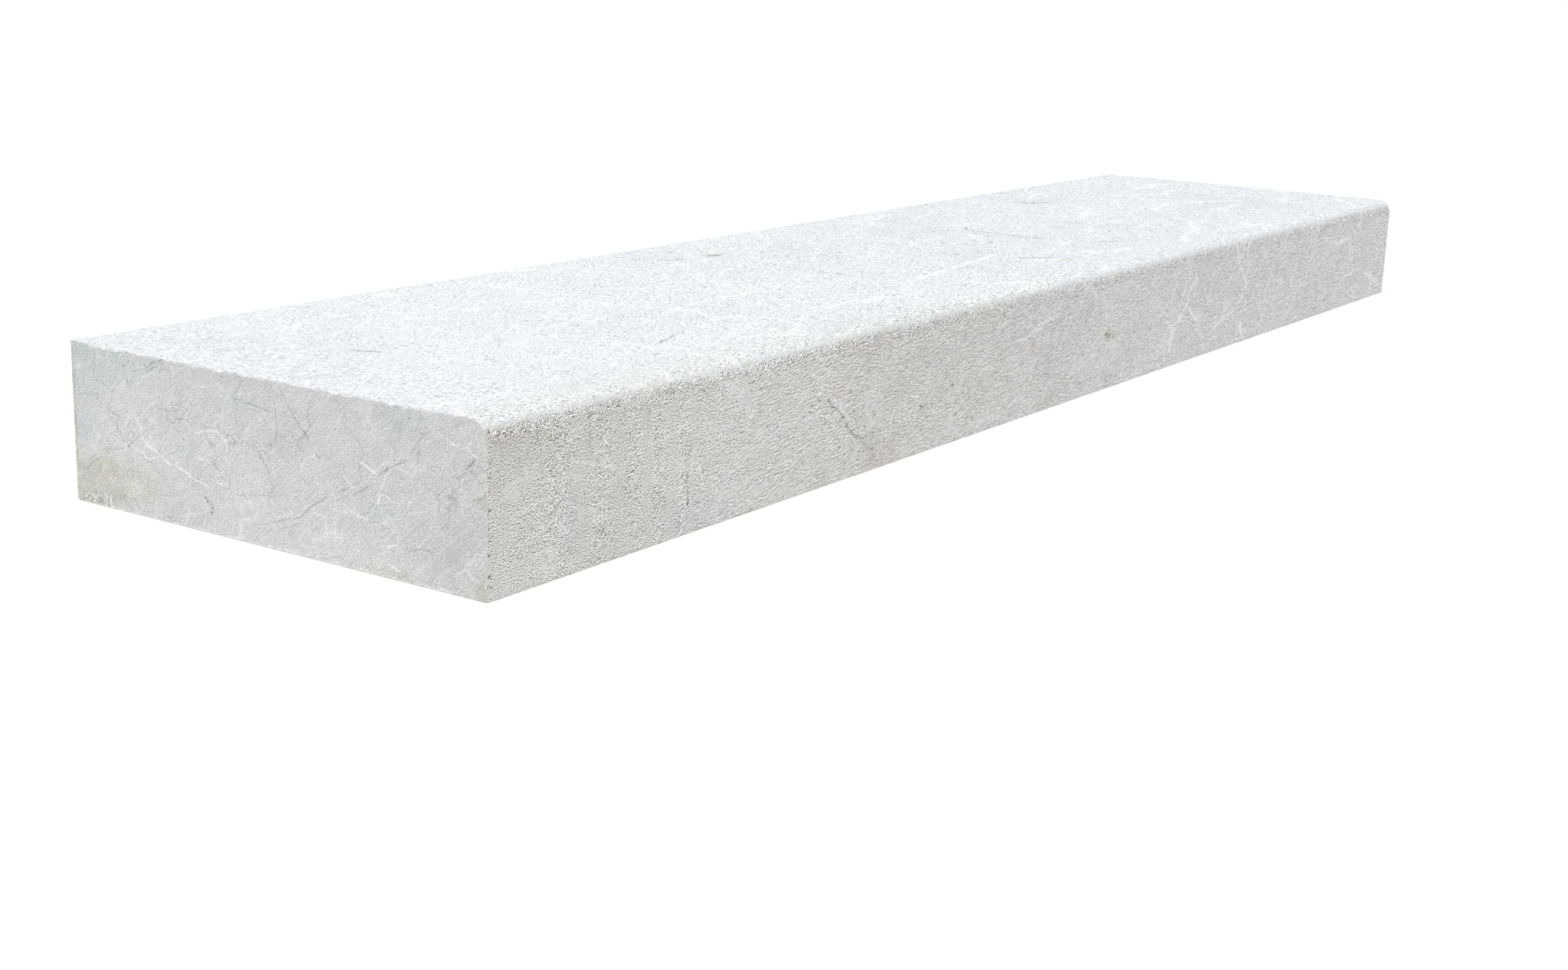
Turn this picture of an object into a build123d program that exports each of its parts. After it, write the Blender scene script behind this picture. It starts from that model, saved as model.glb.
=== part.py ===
from build123d import *
import os

# A block step sawn from one piece of pale limestone, in millimetres.
# X runs along the step, Y from the front to the back, and Z up from the bed.
# The origin is the centre of the bottom face.

# Driving dimensions
LENGTH = 2200.0  # end to end
DEPTH = 500.0  # front to back, so that the next step can lap over the back
HEIGHT = 150.0  # one riser
NOSING_RADIUS = 20.0  # the rounded arris between the riser and the tread

os.makedirs("parts", exist_ok=True)

# Step tread
# The section stands on the ground line and is the same from end to end.
# Only the arris that a foot meets is rounded: the other three stay as the saw left them.
with BuildPart() as step_tread:
    with BuildSketch(Plane.YZ) as section:
        Rectangle(DEPTH, HEIGHT, align=(Align.CENTER, Align.MIN))
        top_corners = section.vertices().group_by(Axis.Y)[-1]
        front_top_corner = top_corners.sort_by(Axis.X)[0]
        fillet(front_top_corner, radius=NOSING_RADIUS)
    extrude(amount=LENGTH / 2, both=True)

step_tread.part.label = "step_tread"
export_step(step_tread.part, "parts/step_tread.step")
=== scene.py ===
"""The looks of a limestone block step: the mesh of its stone, its finishes and the studio it stands in.

The block is one piece of stone, so it is one closed mesh. Its tread, nosing and riser are grit-blasted, and
its ends, back and bed are left as the saw cut them. Sizes of marks are in millimetres, and meshes are in
metres.
"""

from __future__ import annotations

import logging
import math
from collections.abc import Callable, Iterable
from dataclasses import dataclass, field
from enum import Enum

import bpy
import numpy as np
from mathutils import Matrix, Vector, noise
from mathutils.geometry import delaunay_2d_cdt
from mathutils.kdtree import KDTree

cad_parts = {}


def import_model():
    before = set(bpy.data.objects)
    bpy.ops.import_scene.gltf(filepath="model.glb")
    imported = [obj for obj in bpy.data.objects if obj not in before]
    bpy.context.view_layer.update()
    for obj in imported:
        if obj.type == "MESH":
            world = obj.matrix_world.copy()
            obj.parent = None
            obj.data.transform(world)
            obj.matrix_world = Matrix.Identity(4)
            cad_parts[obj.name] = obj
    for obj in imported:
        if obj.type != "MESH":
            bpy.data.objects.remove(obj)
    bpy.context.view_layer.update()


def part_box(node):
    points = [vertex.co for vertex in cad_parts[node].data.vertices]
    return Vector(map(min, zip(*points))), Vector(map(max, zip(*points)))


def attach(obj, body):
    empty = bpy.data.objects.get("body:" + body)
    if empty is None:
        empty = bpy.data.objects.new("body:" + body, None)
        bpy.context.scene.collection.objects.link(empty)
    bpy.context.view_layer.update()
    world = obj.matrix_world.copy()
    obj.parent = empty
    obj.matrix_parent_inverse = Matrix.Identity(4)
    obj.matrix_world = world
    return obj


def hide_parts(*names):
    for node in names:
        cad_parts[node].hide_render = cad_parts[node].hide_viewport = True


log = logging.getLogger("step_tread")

NODE = "step_tread"
BODY = "root"
MM = 0.001
PHOTO_WIDTH = 2048

Pair = tuple[float, float]
Route = tuple[Pair, ...]
Shade = tuple[float, float, float]
Triple = tuple[float, float, float]
Array = np.ndarray
Tree = bpy.types.NodeTree
Socket = bpy.types.NodeSocket
Sockets = bpy.types.bpy_prop_collection
Feed = Socket | float | tuple[float, ...]


class Side(Enum):
    """A face of the block that is meshed as one sheet."""

    DRESSED = "tread, nosing and riser, rolled out flat"
    BACK = "back"
    BED = "bed"
    LEFT = "left end"
    RIGHT = "right end"


class Place(Enum):
    """Where a mark is measured from, always in millimetres."""

    TREAD = "from the left end, and from the back arris"
    RISER = "from the left end, and below the tread"
    LEFT = "from the back, and below the tread"
    RIGHT = "from the back, and below the tread, on the right end"
    BACK = "from the left end, and below the tread, on the back"


class Tone(Enum):
    """Whether a seam is lighter or darker than the stone that it crosses."""

    PALE = 1.0
    DARK = -1.0


class Tint(Enum):
    """A soft patch of another colour. The value is the name of its mesh attribute."""

    OCHRE = "tint_ochre"
    SLATE = "tint_slate"
    ROSE = "tint_rose"
    SMOKE = "tint_smoke"
    CRUMBLE = "tint_crumble"


# The filter that each stain lays over a colour, from 0 to 255
FILTERS: dict[Tint, Shade] = {
    Tint.OCHRE: (237, 232, 221),
    Tint.SLATE: (242, 247, 251),
    Tint.ROSE: (252, 246, 248),
    Tint.SMOKE: (238, 239, 240),
}


def eased(values: Array, start: float, end: float) -> Array:
    """Turns values into a smooth step.

    Args:
        values: Any numbers.
        start: The value at which the step is 0.
        end: The value at which the step is 1. It may be below start.

    Returns:
        Numbers from 0 to 1.
    """
    share = np.clip((values - start) / (end - start), 0.0, 1.0)
    return share * share * (3.0 - 2.0 * share)


def ripple(points: Array, size: float, seed: float) -> Array:
    """Gives smooth noise at points in space.

    Args:
        points: Places, one row each, with two or three numbers.
        size: About how far apart the crests are, in the points' own unit.
        seed: Moves the noise, so that two ripples differ.

    Returns:
        One number for each point, from -1 to 1.
    """
    padded = np.zeros((len(points), 3))
    padded[:, : points.shape[1]] = points
    return np.array([noise.noise(p) for p in (padded / size + seed).tolist()])


def srgb(red: float, green: float, blue: float) -> tuple[float, float, float, float]:
    """Turns a colour as a screen shows it, from 0 to 255, into the linear one that a shader takes."""
    def one(level: float) -> float:
        """Makes one channel linear."""
        share = level / 255.0
        return share / 12.92 if share <= 0.04045 else ((share + 0.055) / 1.055) ** 2.4

    return one(red), one(green), one(blue), 1.0


def grey(level: float) -> tuple[float, float, float, float]:
    """Gives a linear grey, from 0 to 1."""
    return level, level, level, 1.0


@dataclass(frozen=True)
class BlockShape:
    """The block's sawn and rounded outline, and how each side is laid out flat.

    Attributes:
        low: The lowest corner of the block, in metres.
        high: The highest corner, in metres.
        nosing: The radius of the front arris of the tread, in metres.
    """

    low: Vector
    high: Vector
    nosing: float

    @property
    def length(self) -> float:
        """The size along the step."""
        return self.high.x - self.low.x

    @property
    def depth(self) -> float:
        """The size from the front to the back."""
        return self.high.y - self.low.y

    @property
    def height(self) -> float:
        """The rise of the step."""
        return self.high.z - self.low.z

    @property
    def flat(self) -> float:
        """How far the tread is flat, from the back arris to the nosing."""
        return self.depth - self.nosing

    @property
    def arc(self) -> float:
        """The girth of the nosing."""
        return self.nosing * math.pi / 2.0

    def extent(self, side: Side) -> Pair:
        """Gives the two sizes of a side that is laid out flat, in metres."""
        if side is Side.DRESSED:
            return self.length, self.flat + self.arc + self.height - self.nosing
        if side is Side.BACK:
            return self.length, self.height
        if side is Side.BED:
            return self.length, self.depth
        return self.depth, self.height

    def lift(self, side: Side, flat: Array) -> tuple[Array, Array]:
        """Puts points of a flat side in their places on the block.

        Args:
            side: The side.
            flat: Points on it, in metres. Lengths run from the left end and girths from the back arris of the
                tread. On an end, the first number runs from the back and the second from the tread.

        Returns:
            The places, and the directions into the stone, one row each.
        """
        one, two = flat[:, 0], flat[:, 1]
        place = np.zeros((len(flat), 3))
        into = np.zeros((len(flat), 3))
        if side is Side.DRESSED:
            turn = np.clip((two - self.flat) / self.nosing, 0.0, math.pi / 2.0)
            drop = np.maximum(two - self.flat - self.arc, 0.0)
            place[:, 0] = self.low.x + one
            place[:, 1] = self.high.y - np.minimum(two, self.flat) - self.nosing * np.sin(turn)
            place[:, 2] = self.high.z - self.nosing * (1.0 - np.cos(turn)) - drop
            into[:, 1], into[:, 2] = np.sin(turn), -np.cos(turn)
        elif side is Side.BACK:
            place[:, 0], place[:, 1], place[:, 2] = self.low.x + one, self.high.y, self.high.z - two
            into[:, 1] = -1.0
        elif side is Side.BED:
            place[:, 0], place[:, 1], place[:, 2] = self.low.x + one, self.high.y - two, self.low.z
            into[:, 2] = 1.0
        else:
            place[:, 0] = self.low.x if side is Side.LEFT else self.high.x
            place[:, 1], place[:, 2] = self.high.y - one, self.high.z - two
            into[:, 0] = 1.0 if side is Side.LEFT else -1.0
        return place, into

    def skin_depth(self, across: Array, drop: Array) -> Array:
        """Gives how deep points of the section lie under its nearest edge.

        Args:
            across: Distances from the back, in metres.
            drop: Distances below the tread, in metres.

        Returns:
            The depths, in metres.
        """
        plain = np.minimum.reduce([across, self.depth - across, drop, self.height - drop])
        from_front, from_top = self.depth - across, drop
        in_nosing = (from_front < self.nosing) & (from_top < self.nosing)
        reach = np.hypot(self.nosing - from_front, self.nosing - from_top)
        return np.where(in_nosing, np.minimum(plain, self.nosing - reach), plain)

    def room(self, side: Side, flat: Array) -> Array:
        """Gives how far points of a flat side are from its outline, in metres."""
        if side in (Side.LEFT, Side.RIGHT):
            return self.skin_depth(flat[:, 0], flat[:, 1])
        width, girth = self.extent(side)
        return np.minimum.reduce([flat[:, 0], width - flat[:, 0], flat[:, 1], girth - flat[:, 1]])

    def flatten(self, place: Place, spots: Iterable[Pair]) -> tuple[Side, Array]:
        """Turns the measures of a mark into points of a flat side.

        Args:
            place: Where the measures are taken from.
            spots: Pairs of measures, in millimetres.

        Returns:
            The side, and the points on it, in metres.
        """
        flat = np.array(list(spots), float) * MM
        if place is Place.TREAD:
            return Side.DRESSED, flat
        if place is Place.RISER:
            flat[:, 1] += self.flat + self.arc - self.nosing
            return Side.DRESSED, flat
        return {Place.LEFT: Side.LEFT, Place.RIGHT: Side.RIGHT, Place.BACK: Side.BACK}[place], flat


@dataclass(frozen=True)
class Seam:
    """A vein, hairline or crack that runs across a face.

    Attributes:
        place: Where its points are measured from.
        tone: Whether it is pale or dark.
        width: How wide it is, in millimetres.
        strength: How much it shows, from 0 to 1.
        route: The points that it passes, in millimetres.
        depth: How deep it is open, in millimetres, or 0 where it is filled.
    """

    place: Place
    tone: Tone
    width: float
    strength: float
    route: Route
    depth: float = 0.0

    def measure(self, line: Array, flat: Array) -> tuple[Array, Array]:
        """Measures points against the seam.

        Args:
            line: The seam's own points on the flat side, in metres.
            flat: The points to measure, in metres.

        Returns:
            How far each point lies to the left of the seam, and its share of the way along it.
        """
        starts, steps = line[:-1], np.diff(line, axis=0)
        spans = np.linalg.norm(steps, axis=1)
        best = np.full(len(flat), np.inf)
        aside = np.zeros(len(flat))
        along = np.zeros(len(flat))
        passed = 0.0
        for start, step, span in zip(starts, steps, spans):
            away = flat - start
            share = np.clip(away @ step / span**2, 0.0, 1.0)
            gap = np.linalg.norm(away - share[:, None] * step, axis=1)
            turn = step[0] * away[:, 1] - step[1] * away[:, 0]
            nearer = gap < best
            best = np.where(nearer, gap, best)
            aside = np.where(nearer, np.copysign(gap, turn), aside)
            along = np.where(nearer, passed + share * span, along)
            passed += span
        return aside, along / passed


@dataclass(frozen=True)
class Stain:
    """A soft patch of another colour.

    Attributes:
        place: Where its centre is measured from.
        tint: Its colour.
        centre: Its middle, in millimetres.
        radii: Its two half sizes, in millimetres.
        strength: How much it shows, from 0 to 1.
        turn: How far it is turned, in degrees.
    """

    place: Place
    tint: Tint
    centre: Pair
    radii: Pair
    strength: float
    turn: float = 0.0

    def weigh(self, centre: Array, flat: Array, ragged: Array) -> Array:
        """Gives the patch's share at points of the flat side.

        Args:
            centre: The patch's middle on the flat side, in metres.
            flat: The points, in metres.
            ragged: Noise at the points, from -1 to 1, which breaks up the patch's edge.

        Returns:
            Numbers from 0 to the patch's strength.
        """
        angle = math.radians(self.turn)
        away = (flat - centre) / MM
        one = (away[:, 0] * math.cos(angle) + away[:, 1] * math.sin(angle)) / self.radii[0]
        two = (away[:, 1] * math.cos(angle) - away[:, 0] * math.sin(angle)) / self.radii[1]
        return self.strength * eased(np.hypot(one, two) + 0.3 * ragged, 1.2, 0.55)


@dataclass(frozen=True)
class Pit:
    """A small hole where a grain or a shell has fallen out.

    Attributes:
        place: Where its centre is measured from.
        centre: Its middle, in millimetres.
        radius: Its radius at the surface, in millimetres.
        depth: Its depth, in millimetres.
    """

    place: Place
    centre: Pair
    radius: float
    depth: float


@dataclass(frozen=True)
class Chip:
    """A place on an arris where more stone has broken away.

    Attributes:
        spot: A point on the arris, in metres, in the block's own frame.
        reach: Half its length along the arris, in metres.
        size: How much it takes off the arris, in metres.
    """

    spot: tuple[float, float, float]
    reach: float
    size: float


def seam_makers(place: Place) -> tuple[Callable, Callable, Callable]:
    """Gives three short ways to describe a seam of one place: pale, dark and open.

    Args:
        place: Where the seams are measured from.

    Returns:
        Functions that take a seam's width, its strength (or the depth of an open one), and the two measures
        of each of its points in turn.
    """
    def route(measures: tuple[float, ...]) -> Route:
        """Makes points of the measures."""
        return tuple(zip(measures[::2], measures[1::2]))

    def pale(width: float, strength: float, measures: tuple[float, ...]) -> Seam:
        """Makes a pale vein."""
        return Seam(place, Tone.PALE, width, strength, route(measures))

    def dark(width: float, strength: float, measures: tuple[float, ...]) -> Seam:
        """Makes a dark seam that isn't open."""
        return Seam(place, Tone.DARK, width, strength, route(measures))

    def crack(width: float, depth: float, measures: tuple[float, ...]) -> Seam:
        """Makes an open crack, which dirt has darkened."""
        return Seam(place, Tone.DARK, width, 0.9, route(measures), depth)

    return pale, dark, crack


def left_end_seams() -> list[Seam]:
    """Gives the veins and hairlines of the left end."""
    pale, dark, _ = seam_makers(Place.LEFT)
    return [
        # The bruised stone along the arrises
        pale(1.6, 0.8, (12, 1.2, 80, 0.8, 150, 1.2, 230, 0.8, 310, 1.2, 390, 0.8, 474, 1.2)),
        pale(1.6, 0.7, (8, 148.8, 110, 149.2, 220, 148.8, 330, 149.2, 420, 148.8, 492, 149.2)),
        # The double vein
        pale(1.7, 1.0, (92, 79, 100, 83, 110, 87, 118, 90, 128, 96, 141, 97, 156, 102, 181, 111)),
        pale(1.1, 0.8, (80, 87, 88, 89, 94, 92, 99, 95, 105, 94, 116, 91)),
        pale(1.0, 0.7, (128, 88, 134, 88.5, 138, 92, 136, 96)),
        # Veins towards the front
        pale(1.1, 0.8, (446, 15, 449, 20, 456, 22, 464, 24.5, 479, 25, 484, 28.5, 494, 32)),
        pale(1.0, 0.35, (431, 28, 440, 23, 449, 20)),
        pale(1.5, 0.95, (358, 55.5, 366, 56, 372, 58, 380, 64)),
        pale(1.2, 0.6, (378, 75, 382, 78, 382, 87)),
        pale(1.1, 0.5, (381, 76, 390, 80, 399, 84, 408, 81.5)),
        pale(1.2, 0.75, (389, 124, 402, 121.5, 406, 123.5, 412, 123)),
        pale(1.5, 0.8, (392, 137, 398, 140, 404, 142.5)),
        pale(1.2, 0.35, (410, 93, 422, 89, 440, 82, 456, 79)),
        # Specks and wisps in the middle
        pale(1.2, 0.4, (161, 85.5, 170, 84, 183, 83)),
        pale(1.6, 0.45, (186, 102, 193, 103.5, 201, 102)),
        pale(1.1, 0.3, (197, 65, 204, 60, 211, 62)),
        pale(1.1, 0.4, (219, 19, 226, 17.5, 236, 18)),
        pale(2.6, 0.3, (60, 36, 71, 30, 83, 25, 97, 20, 111, 17)),
        pale(1.0, 0.3, (72, 2, 82, 7, 92, 12)),
        pale(1.5, 0.7, (46.5, 137, 47, 149)),
        pale(2.0, 0.25, (300, 136, 316, 129, 332, 124)),
        pale(1.5, 0.25, (128, 45, 134, 42, 142, 42)),
        # The crevice by the back
        dark(1.5, 0.6, (98, 14.5, 104, 11, 111, 7, 118, 4, 126, 1)),
        dark(1.2, 0.5, (100, 17, 108, 13, 117, 9.5)),
        dark(1.0, 0.3, (5, 49, 16, 48, 27, 46.5, 44, 44, 52, 41.5, 60, 37)),
        dark(1.5, 0.5, (31, 51, 37, 48.5)),
        dark(1.6, 0.5, (48, 52, 49, 58, 57, 60, 65, 61.5)),
        dark(1.1, 0.55, (58, 66, 59, 72, 65, 79, 70, 86)),
        dark(1.0, 0.6, (75, 71.5, 84, 77)),
        dark(1.0, 0.5, (74, 88, 83, 81.5, 89, 77, 95, 72.5)),
        dark(1.4, 0.5, (8, 121, 17, 116.5, 27, 108, 34, 106)),
        dark(2.2, 0.3, (39, 97, 52, 93.5, 69, 89)),
        # Hairlines in the middle
        dark(1.0, 0.6, (124, 46.5, 132, 50, 139, 52, 148, 52, 156, 53.5)),
        dark(1.0, 0.45, (152, 32, 160, 38.5, 172, 29.5)),
        dark(1.0, 0.6, (208, 23, 220, 24, 232, 26, 240, 28, 249, 28.5, 261, 30)),
        dark(1.0, 0.65, (234, 30.5, 244, 33, 250, 37, 253, 42)),
        dark(1.0, 0.4, (193, 7, 210, 5)),
        dark(1.2, 0.5, (268, 2, 269, 7, 275, 15, 279, 21, 285, 28, 293, 37, 299, 43, 301, 50)),
        dark(2.2, 0.75, (295, 41, 300, 45, 300.5, 49)),
        dark(1.2, 0.6, (308, 55, 314, 61)),
        dark(1.1, 0.5, (263, 23, 262, 31, 264, 42, 262, 54, 265, 57)),
        dark(1.0, 0.4, (212, 109, 224, 108.5, 236, 106, 258, 104)),
        # The long crack that climbs towards the front
        dark(1.2, 0.5, (255, 127, 264, 123, 276, 120, 292, 115, 301, 105, 314, 98, 326, 91)),
        dark(1.0, 0.4, (249, 135, 260, 132, 272, 127.5, 284, 123, 292, 119.5)),
        dark(1.2, 0.6, (333, 93, 340, 91, 347, 88)),
        dark(1.1, 0.6, (336, 86.5, 342, 83, 348, 81)),
        dark(1.2, 0.6, (353, 85, 362, 79.5, 369, 75.5, 376, 72.5)),
        dark(1.2, 0.65, (380, 65, 388, 60.5, 393, 56, 400, 53, 407, 49, 416, 44)),
        dark(1.6, 0.3, (416, 44, 421, 37, 426, 28, 430, 21, 442, 16)),
        dark(1.4, 0.8, (488, 30, 484.5, 33.5, 482, 38.5, 478, 43)),
        dark(1.0, 0.5, (474, 5, 467, 9, 461, 11)),
        dark(1.0, 0.35, (386, 24, 393, 19.5, 401, 15)),
        dark(1.0, 0.4, (464, 65.5, 473, 67, 483, 68, 499, 63)),
        dark(1.2, 0.5, (413, 123, 420, 120.5, 427, 118.5, 439, 119)),
        dark(1.2, 0.4, (370, 89.5, 374, 90.5, 377, 93.5)),
    ]


def riser_seams() -> list[Seam]:
    """Gives the veins and cracks of the riser, from the left end."""
    pale, dark, crack = seam_makers(Place.RISER)
    return [
        pale(2.4, 0.45, (108, 54, 122, 57, 145, 63, 168, 69)),
        pale(2.2, 0.35, (202, 78, 190, 86, 178, 94)),
        pale(2.2, 0.35, (210, 58, 236, 55, 256, 51, 272, 47)),
        pale(2.4, 0.3, (296, 107, 326, 102, 350, 89, 376, 81, 402, 73)),
        pale(2.2, 0.25, (30, 88, 52, 80, 75, 76)),
        dark(3.0, 0.35, (127, 14, 128, 28, 131, 46)),
        dark(6.0, 0.3, (209, 22, 208, 40)),
        crack(1.2, 0.5, (271, 90, 269, 102, 271, 113, 273, 126)),
        dark(2.0, 0.5, (277, 60, 274, 71, 265, 81, 271, 89)),
        pale(2.0, 0.5, (281, 70, 277, 84, 275, 98)),
        crack(1.0, 0.35, (500, 60, 511, 70, 521, 75, 531, 83, 540, 93, 544, 100)),
        dark(2.2, 0.95, (544, 100, 553, 107, 565, 112, 576, 115)),
        pale(2.6, 0.3, (506, 56, 519, 68, 538, 82, 549, 97)),
        dark(1.8, 0.6, (573, 116, 580, 124, 597, 129)),
        crack(2.0, 1.0, (687, 98, 696, 101)),
        pale(3.0, 0.35, (763, 40, 768, 28, 776, 14)),
        pale(3.0, 0.4, (1034, 124, 1048, 117, 1058, 106)),
        pale(3.4, 0.45, (1062, 117, 1086, 109, 1116, 98)),
        pale(3.6, 0.35, (890, 60, 930, 56, 968, 45, 1010, 40)),
        pale(5.5, 0.5, (1326, 146, 1340, 128, 1344, 104, 1373, 86, 1388, 70, 1398, 53, 1426, 36)),
        pale(3.4, 0.45, (1384, 72, 1410, 90, 1436, 102)),
        pale(3.0, 0.45, (1352, 112, 1366, 74, 1384, 40, 1396, 12)),
        pale(4.0, 0.55, (1549, 3, 1557, 28, 1567, 43, 1586, 60, 1598, 70, 1588, 82, 1562, 101)),
        pale(4.0, 0.45, (1562, 101, 1520, 108, 1478, 122)),
        pale(5.0, 0.5, (1576, 124, 1590, 133, 1604, 148)),
        pale(4.0, 0.5, (1877, 40, 1897, 32, 1912, 35, 1924, 44, 1970, 46, 2022, 41)),
        dark(4.5, 0.45, (1866, 33, 1884, 24, 1904, 17)),
        pale(4.5, 0.45, (2026, 60, 2038, 70, 2030, 86)),
        pale(3.6, 0.4, (1955, 146, 1966, 124, 1984, 112, 2003, 104, 2032, 100, 2068, 98, 2095, 103)),
        pale(4.2, 0.5, (2095, 103, 2118, 112, 2142, 116, 2160, 127, 2184, 138)),
        pale(4.5, 0.45, (2052, 32, 2066, 12)),
        pale(4.0, 0.35, (1650, 18, 1672, 52, 1700, 74, 1745, 80)),
        pale(4.0, 0.3, (1800, 12, 1790, 60, 1762, 104, 1755, 140)),
    ]


def tread_seams() -> list[Seam]:
    """Gives the veins and cracks of the tread and the nosing, from the left end."""
    pale, dark, crack = seam_makers(Place.TREAD)
    return [
        pale(4.1, 0.75, (344, 131, 360, 134, 378, 141, 392, 148)),
        pale(4.4, 0.75, (440, 150, 456, 152, 471, 161, 486, 168, 503, 173)),
        pale(5.1, 0.52, (505, 40, 502, 90, 507, 130, 501, 170, 505, 205, 502, 242)),
        pale(5.1, 0.68, (498, 305, 515, 296, 541, 290, 566, 285, 602, 284, 640, 287, 690, 288)),
        pale(4.4, 0.68, (420, 446, 447, 437, 470, 444, 485, 456, 494, 468, 502, 482)),
        pale(4.4, 0.60, (494, 457, 516, 450, 536, 440, 545, 426, 553, 410, 558, 392)),
        pale(5.4, 0.75, (636, 408, 664, 401, 695, 400, 711, 405, 732, 411, 764, 410)),
        pale(4.0, 0.50, (738, 203, 764, 185, 792, 173, 842, 167)),
        pale(6.1, 0.75, (878, 372, 920, 366, 962, 362, 1010, 355, 1062, 349, 1110, 344, 1156, 333)),
        pale(6.1, 0.75, (1248, 400, 1270, 411, 1287, 425, 1308, 431, 1332, 441)),
        pale(5.8, 0.60, (922, 449, 946, 459, 976, 473)),
        pale(7.6, 0.83, (1884, 150, 1915, 163, 1948, 182, 1978, 195, 2004, 197)),
        pale(8.5, 0.83, (2054, 143, 2084, 132, 2112, 130, 2128, 141, 2146, 150)),
        pale(7.6, 0.75, (1894, 278, 1926, 290, 1950, 298, 1978, 300)),
        pale(7.6, 0.68, (1966, 307, 1988, 322, 2014, 332)),
        pale(7.6, 0.68, (1744, 296, 1762, 278, 1788, 268, 1822, 265, 1854, 259)),
        pale(6.8, 0.60, (2010, 52, 1996, 30, 1984, 12)),
        pale(5.1, 0.68, (592, 6, 614, 14, 631, 28, 640, 46)),
        pale(6.8, 0.60, (1268, 92, 1290, 70, 1322, 50, 1368, 36, 1410, 30)),
        pale(6.8, 0.52, (1744, 76, 1774, 65, 1806, 60)),
        pale(4.1, 0.52, (40, 181, 74, 186, 112, 187, 150, 190)),
        pale(4.1, 0.52, (46, 238, 55, 250, 65, 262)),
        pale(4.1, 0.45, (60, 120, 72, 123, 88, 126)),
        pale(4.4, 0.45, (232, 145, 248, 172, 268, 196)),
        pale(6.8, 0.52, (1500, 120, 1540, 150, 1570, 210, 1620, 240, 1680, 246)),
        pale(6.8, 0.52, (1440, 470, 1500, 440, 1590, 420, 1660, 380, 1720, 368)),
        pale(6.8, 0.52, (2060, 470, 2040, 430, 2052, 380, 2080, 350)),
        dark(5.0, 0.75, (139, 213, 145, 227, 151, 247)),
        dark(7.0, 0.8, (858, 88, 872, 93, 888, 98)),
        crack(1.6, 0.7, (362, 397, 376, 391, 391, 388, 408, 381)),
        crack(1.4, 0.4, (312, 429, 324, 426)),
        dark(7.0, 0.7, (1140, 366, 1160, 386, 1178, 412)),
        dark(4.4, 0.7, (1358, 375, 1374, 389, 1394, 402)),
        dark(8.0, 0.6, (1676, 90, 1698, 108, 1722, 128)),
        dark(5.0, 0.35, (1116, 178, 1128, 200, 1136, 218)),
        dark(6.0, 0.25, (856, 250, 860, 300, 850, 350)),
        crack(3.2, 0.9, (1358, 180, 1338, 190, 1331, 208, 1334, 228, 1333, 246)),
        crack(4.0, 1.0, (1333, 246, 1335, 257, 1329, 270, 1332, 292, 1332, 312)),
        dark(3.6, 0.7, (1228, 286, 1240, 277, 1262, 270)),
    ]


def pits() -> list[Pit]:
    """Gives the holes of the tread, the riser and the left end."""
    # Each is the two measures of its middle, its radius and its depth
    holes = {
        Place.TREAD: (
            (672, 126, 3.6, 2.2), (605, 188, 1.8, 1.1), (1195, 233, 3.0, 1.5), (1268, 283, 2.8, 1.4),
            (1154, 306, 3.2, 1.6), (1138, 300, 2.4, 1.2), (84, 366, 2.2, 1.2), (478, 313, 2.0, 1.1),
            (497, 309, 2.2, 1.2),
        ),
        Place.RISER: (
            (505, 63, 2.0, 1.3), (533, 85, 2.6, 1.7), (541, 95, 2.6, 1.7), (545, 61, 2.0, 1.2),
            (272, 112, 1.8, 1.4), (272, 122, 2.2, 1.6), (714, 102, 1.9, 1.1), (1143, 81, 3.4, 2.2),
            (1151, 84, 3.4, 2.0), (1162, 87, 2.2, 1.2),
            # The row down the left arris
            (3.2, 36, 1.3, 1.0), (2.8, 47, 1.4, 1.1), (3.4, 58, 1.2, 1.0), (3.5, 74, 2.2, 1.7),
            (2.6, 89, 1.4, 1.1), (3.2, 99, 1.3, 1.0), (2.8, 111, 1.5, 1.2), (3.5, 129, 2.4, 1.8),
            (5.0, 138, 1.8, 1.4),
        ),
        Place.LEFT: (
            (173, 119, 1.9, 1.2), (175, 122, 1.6, 1.1), (181, 127, 1.8, 1.3), (180, 131, 1.9, 1.2),
            (73.5, 88, 1.8, 1.1), (85.5, 18, 1.3, 0.8), (75.5, 27, 1.2, 0.8),
        ),
    }
    return [
        Pit(place, (one, two), radius, depth)
        for place, rows in holes.items() for one, two, radius, depth in rows
    ]


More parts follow.
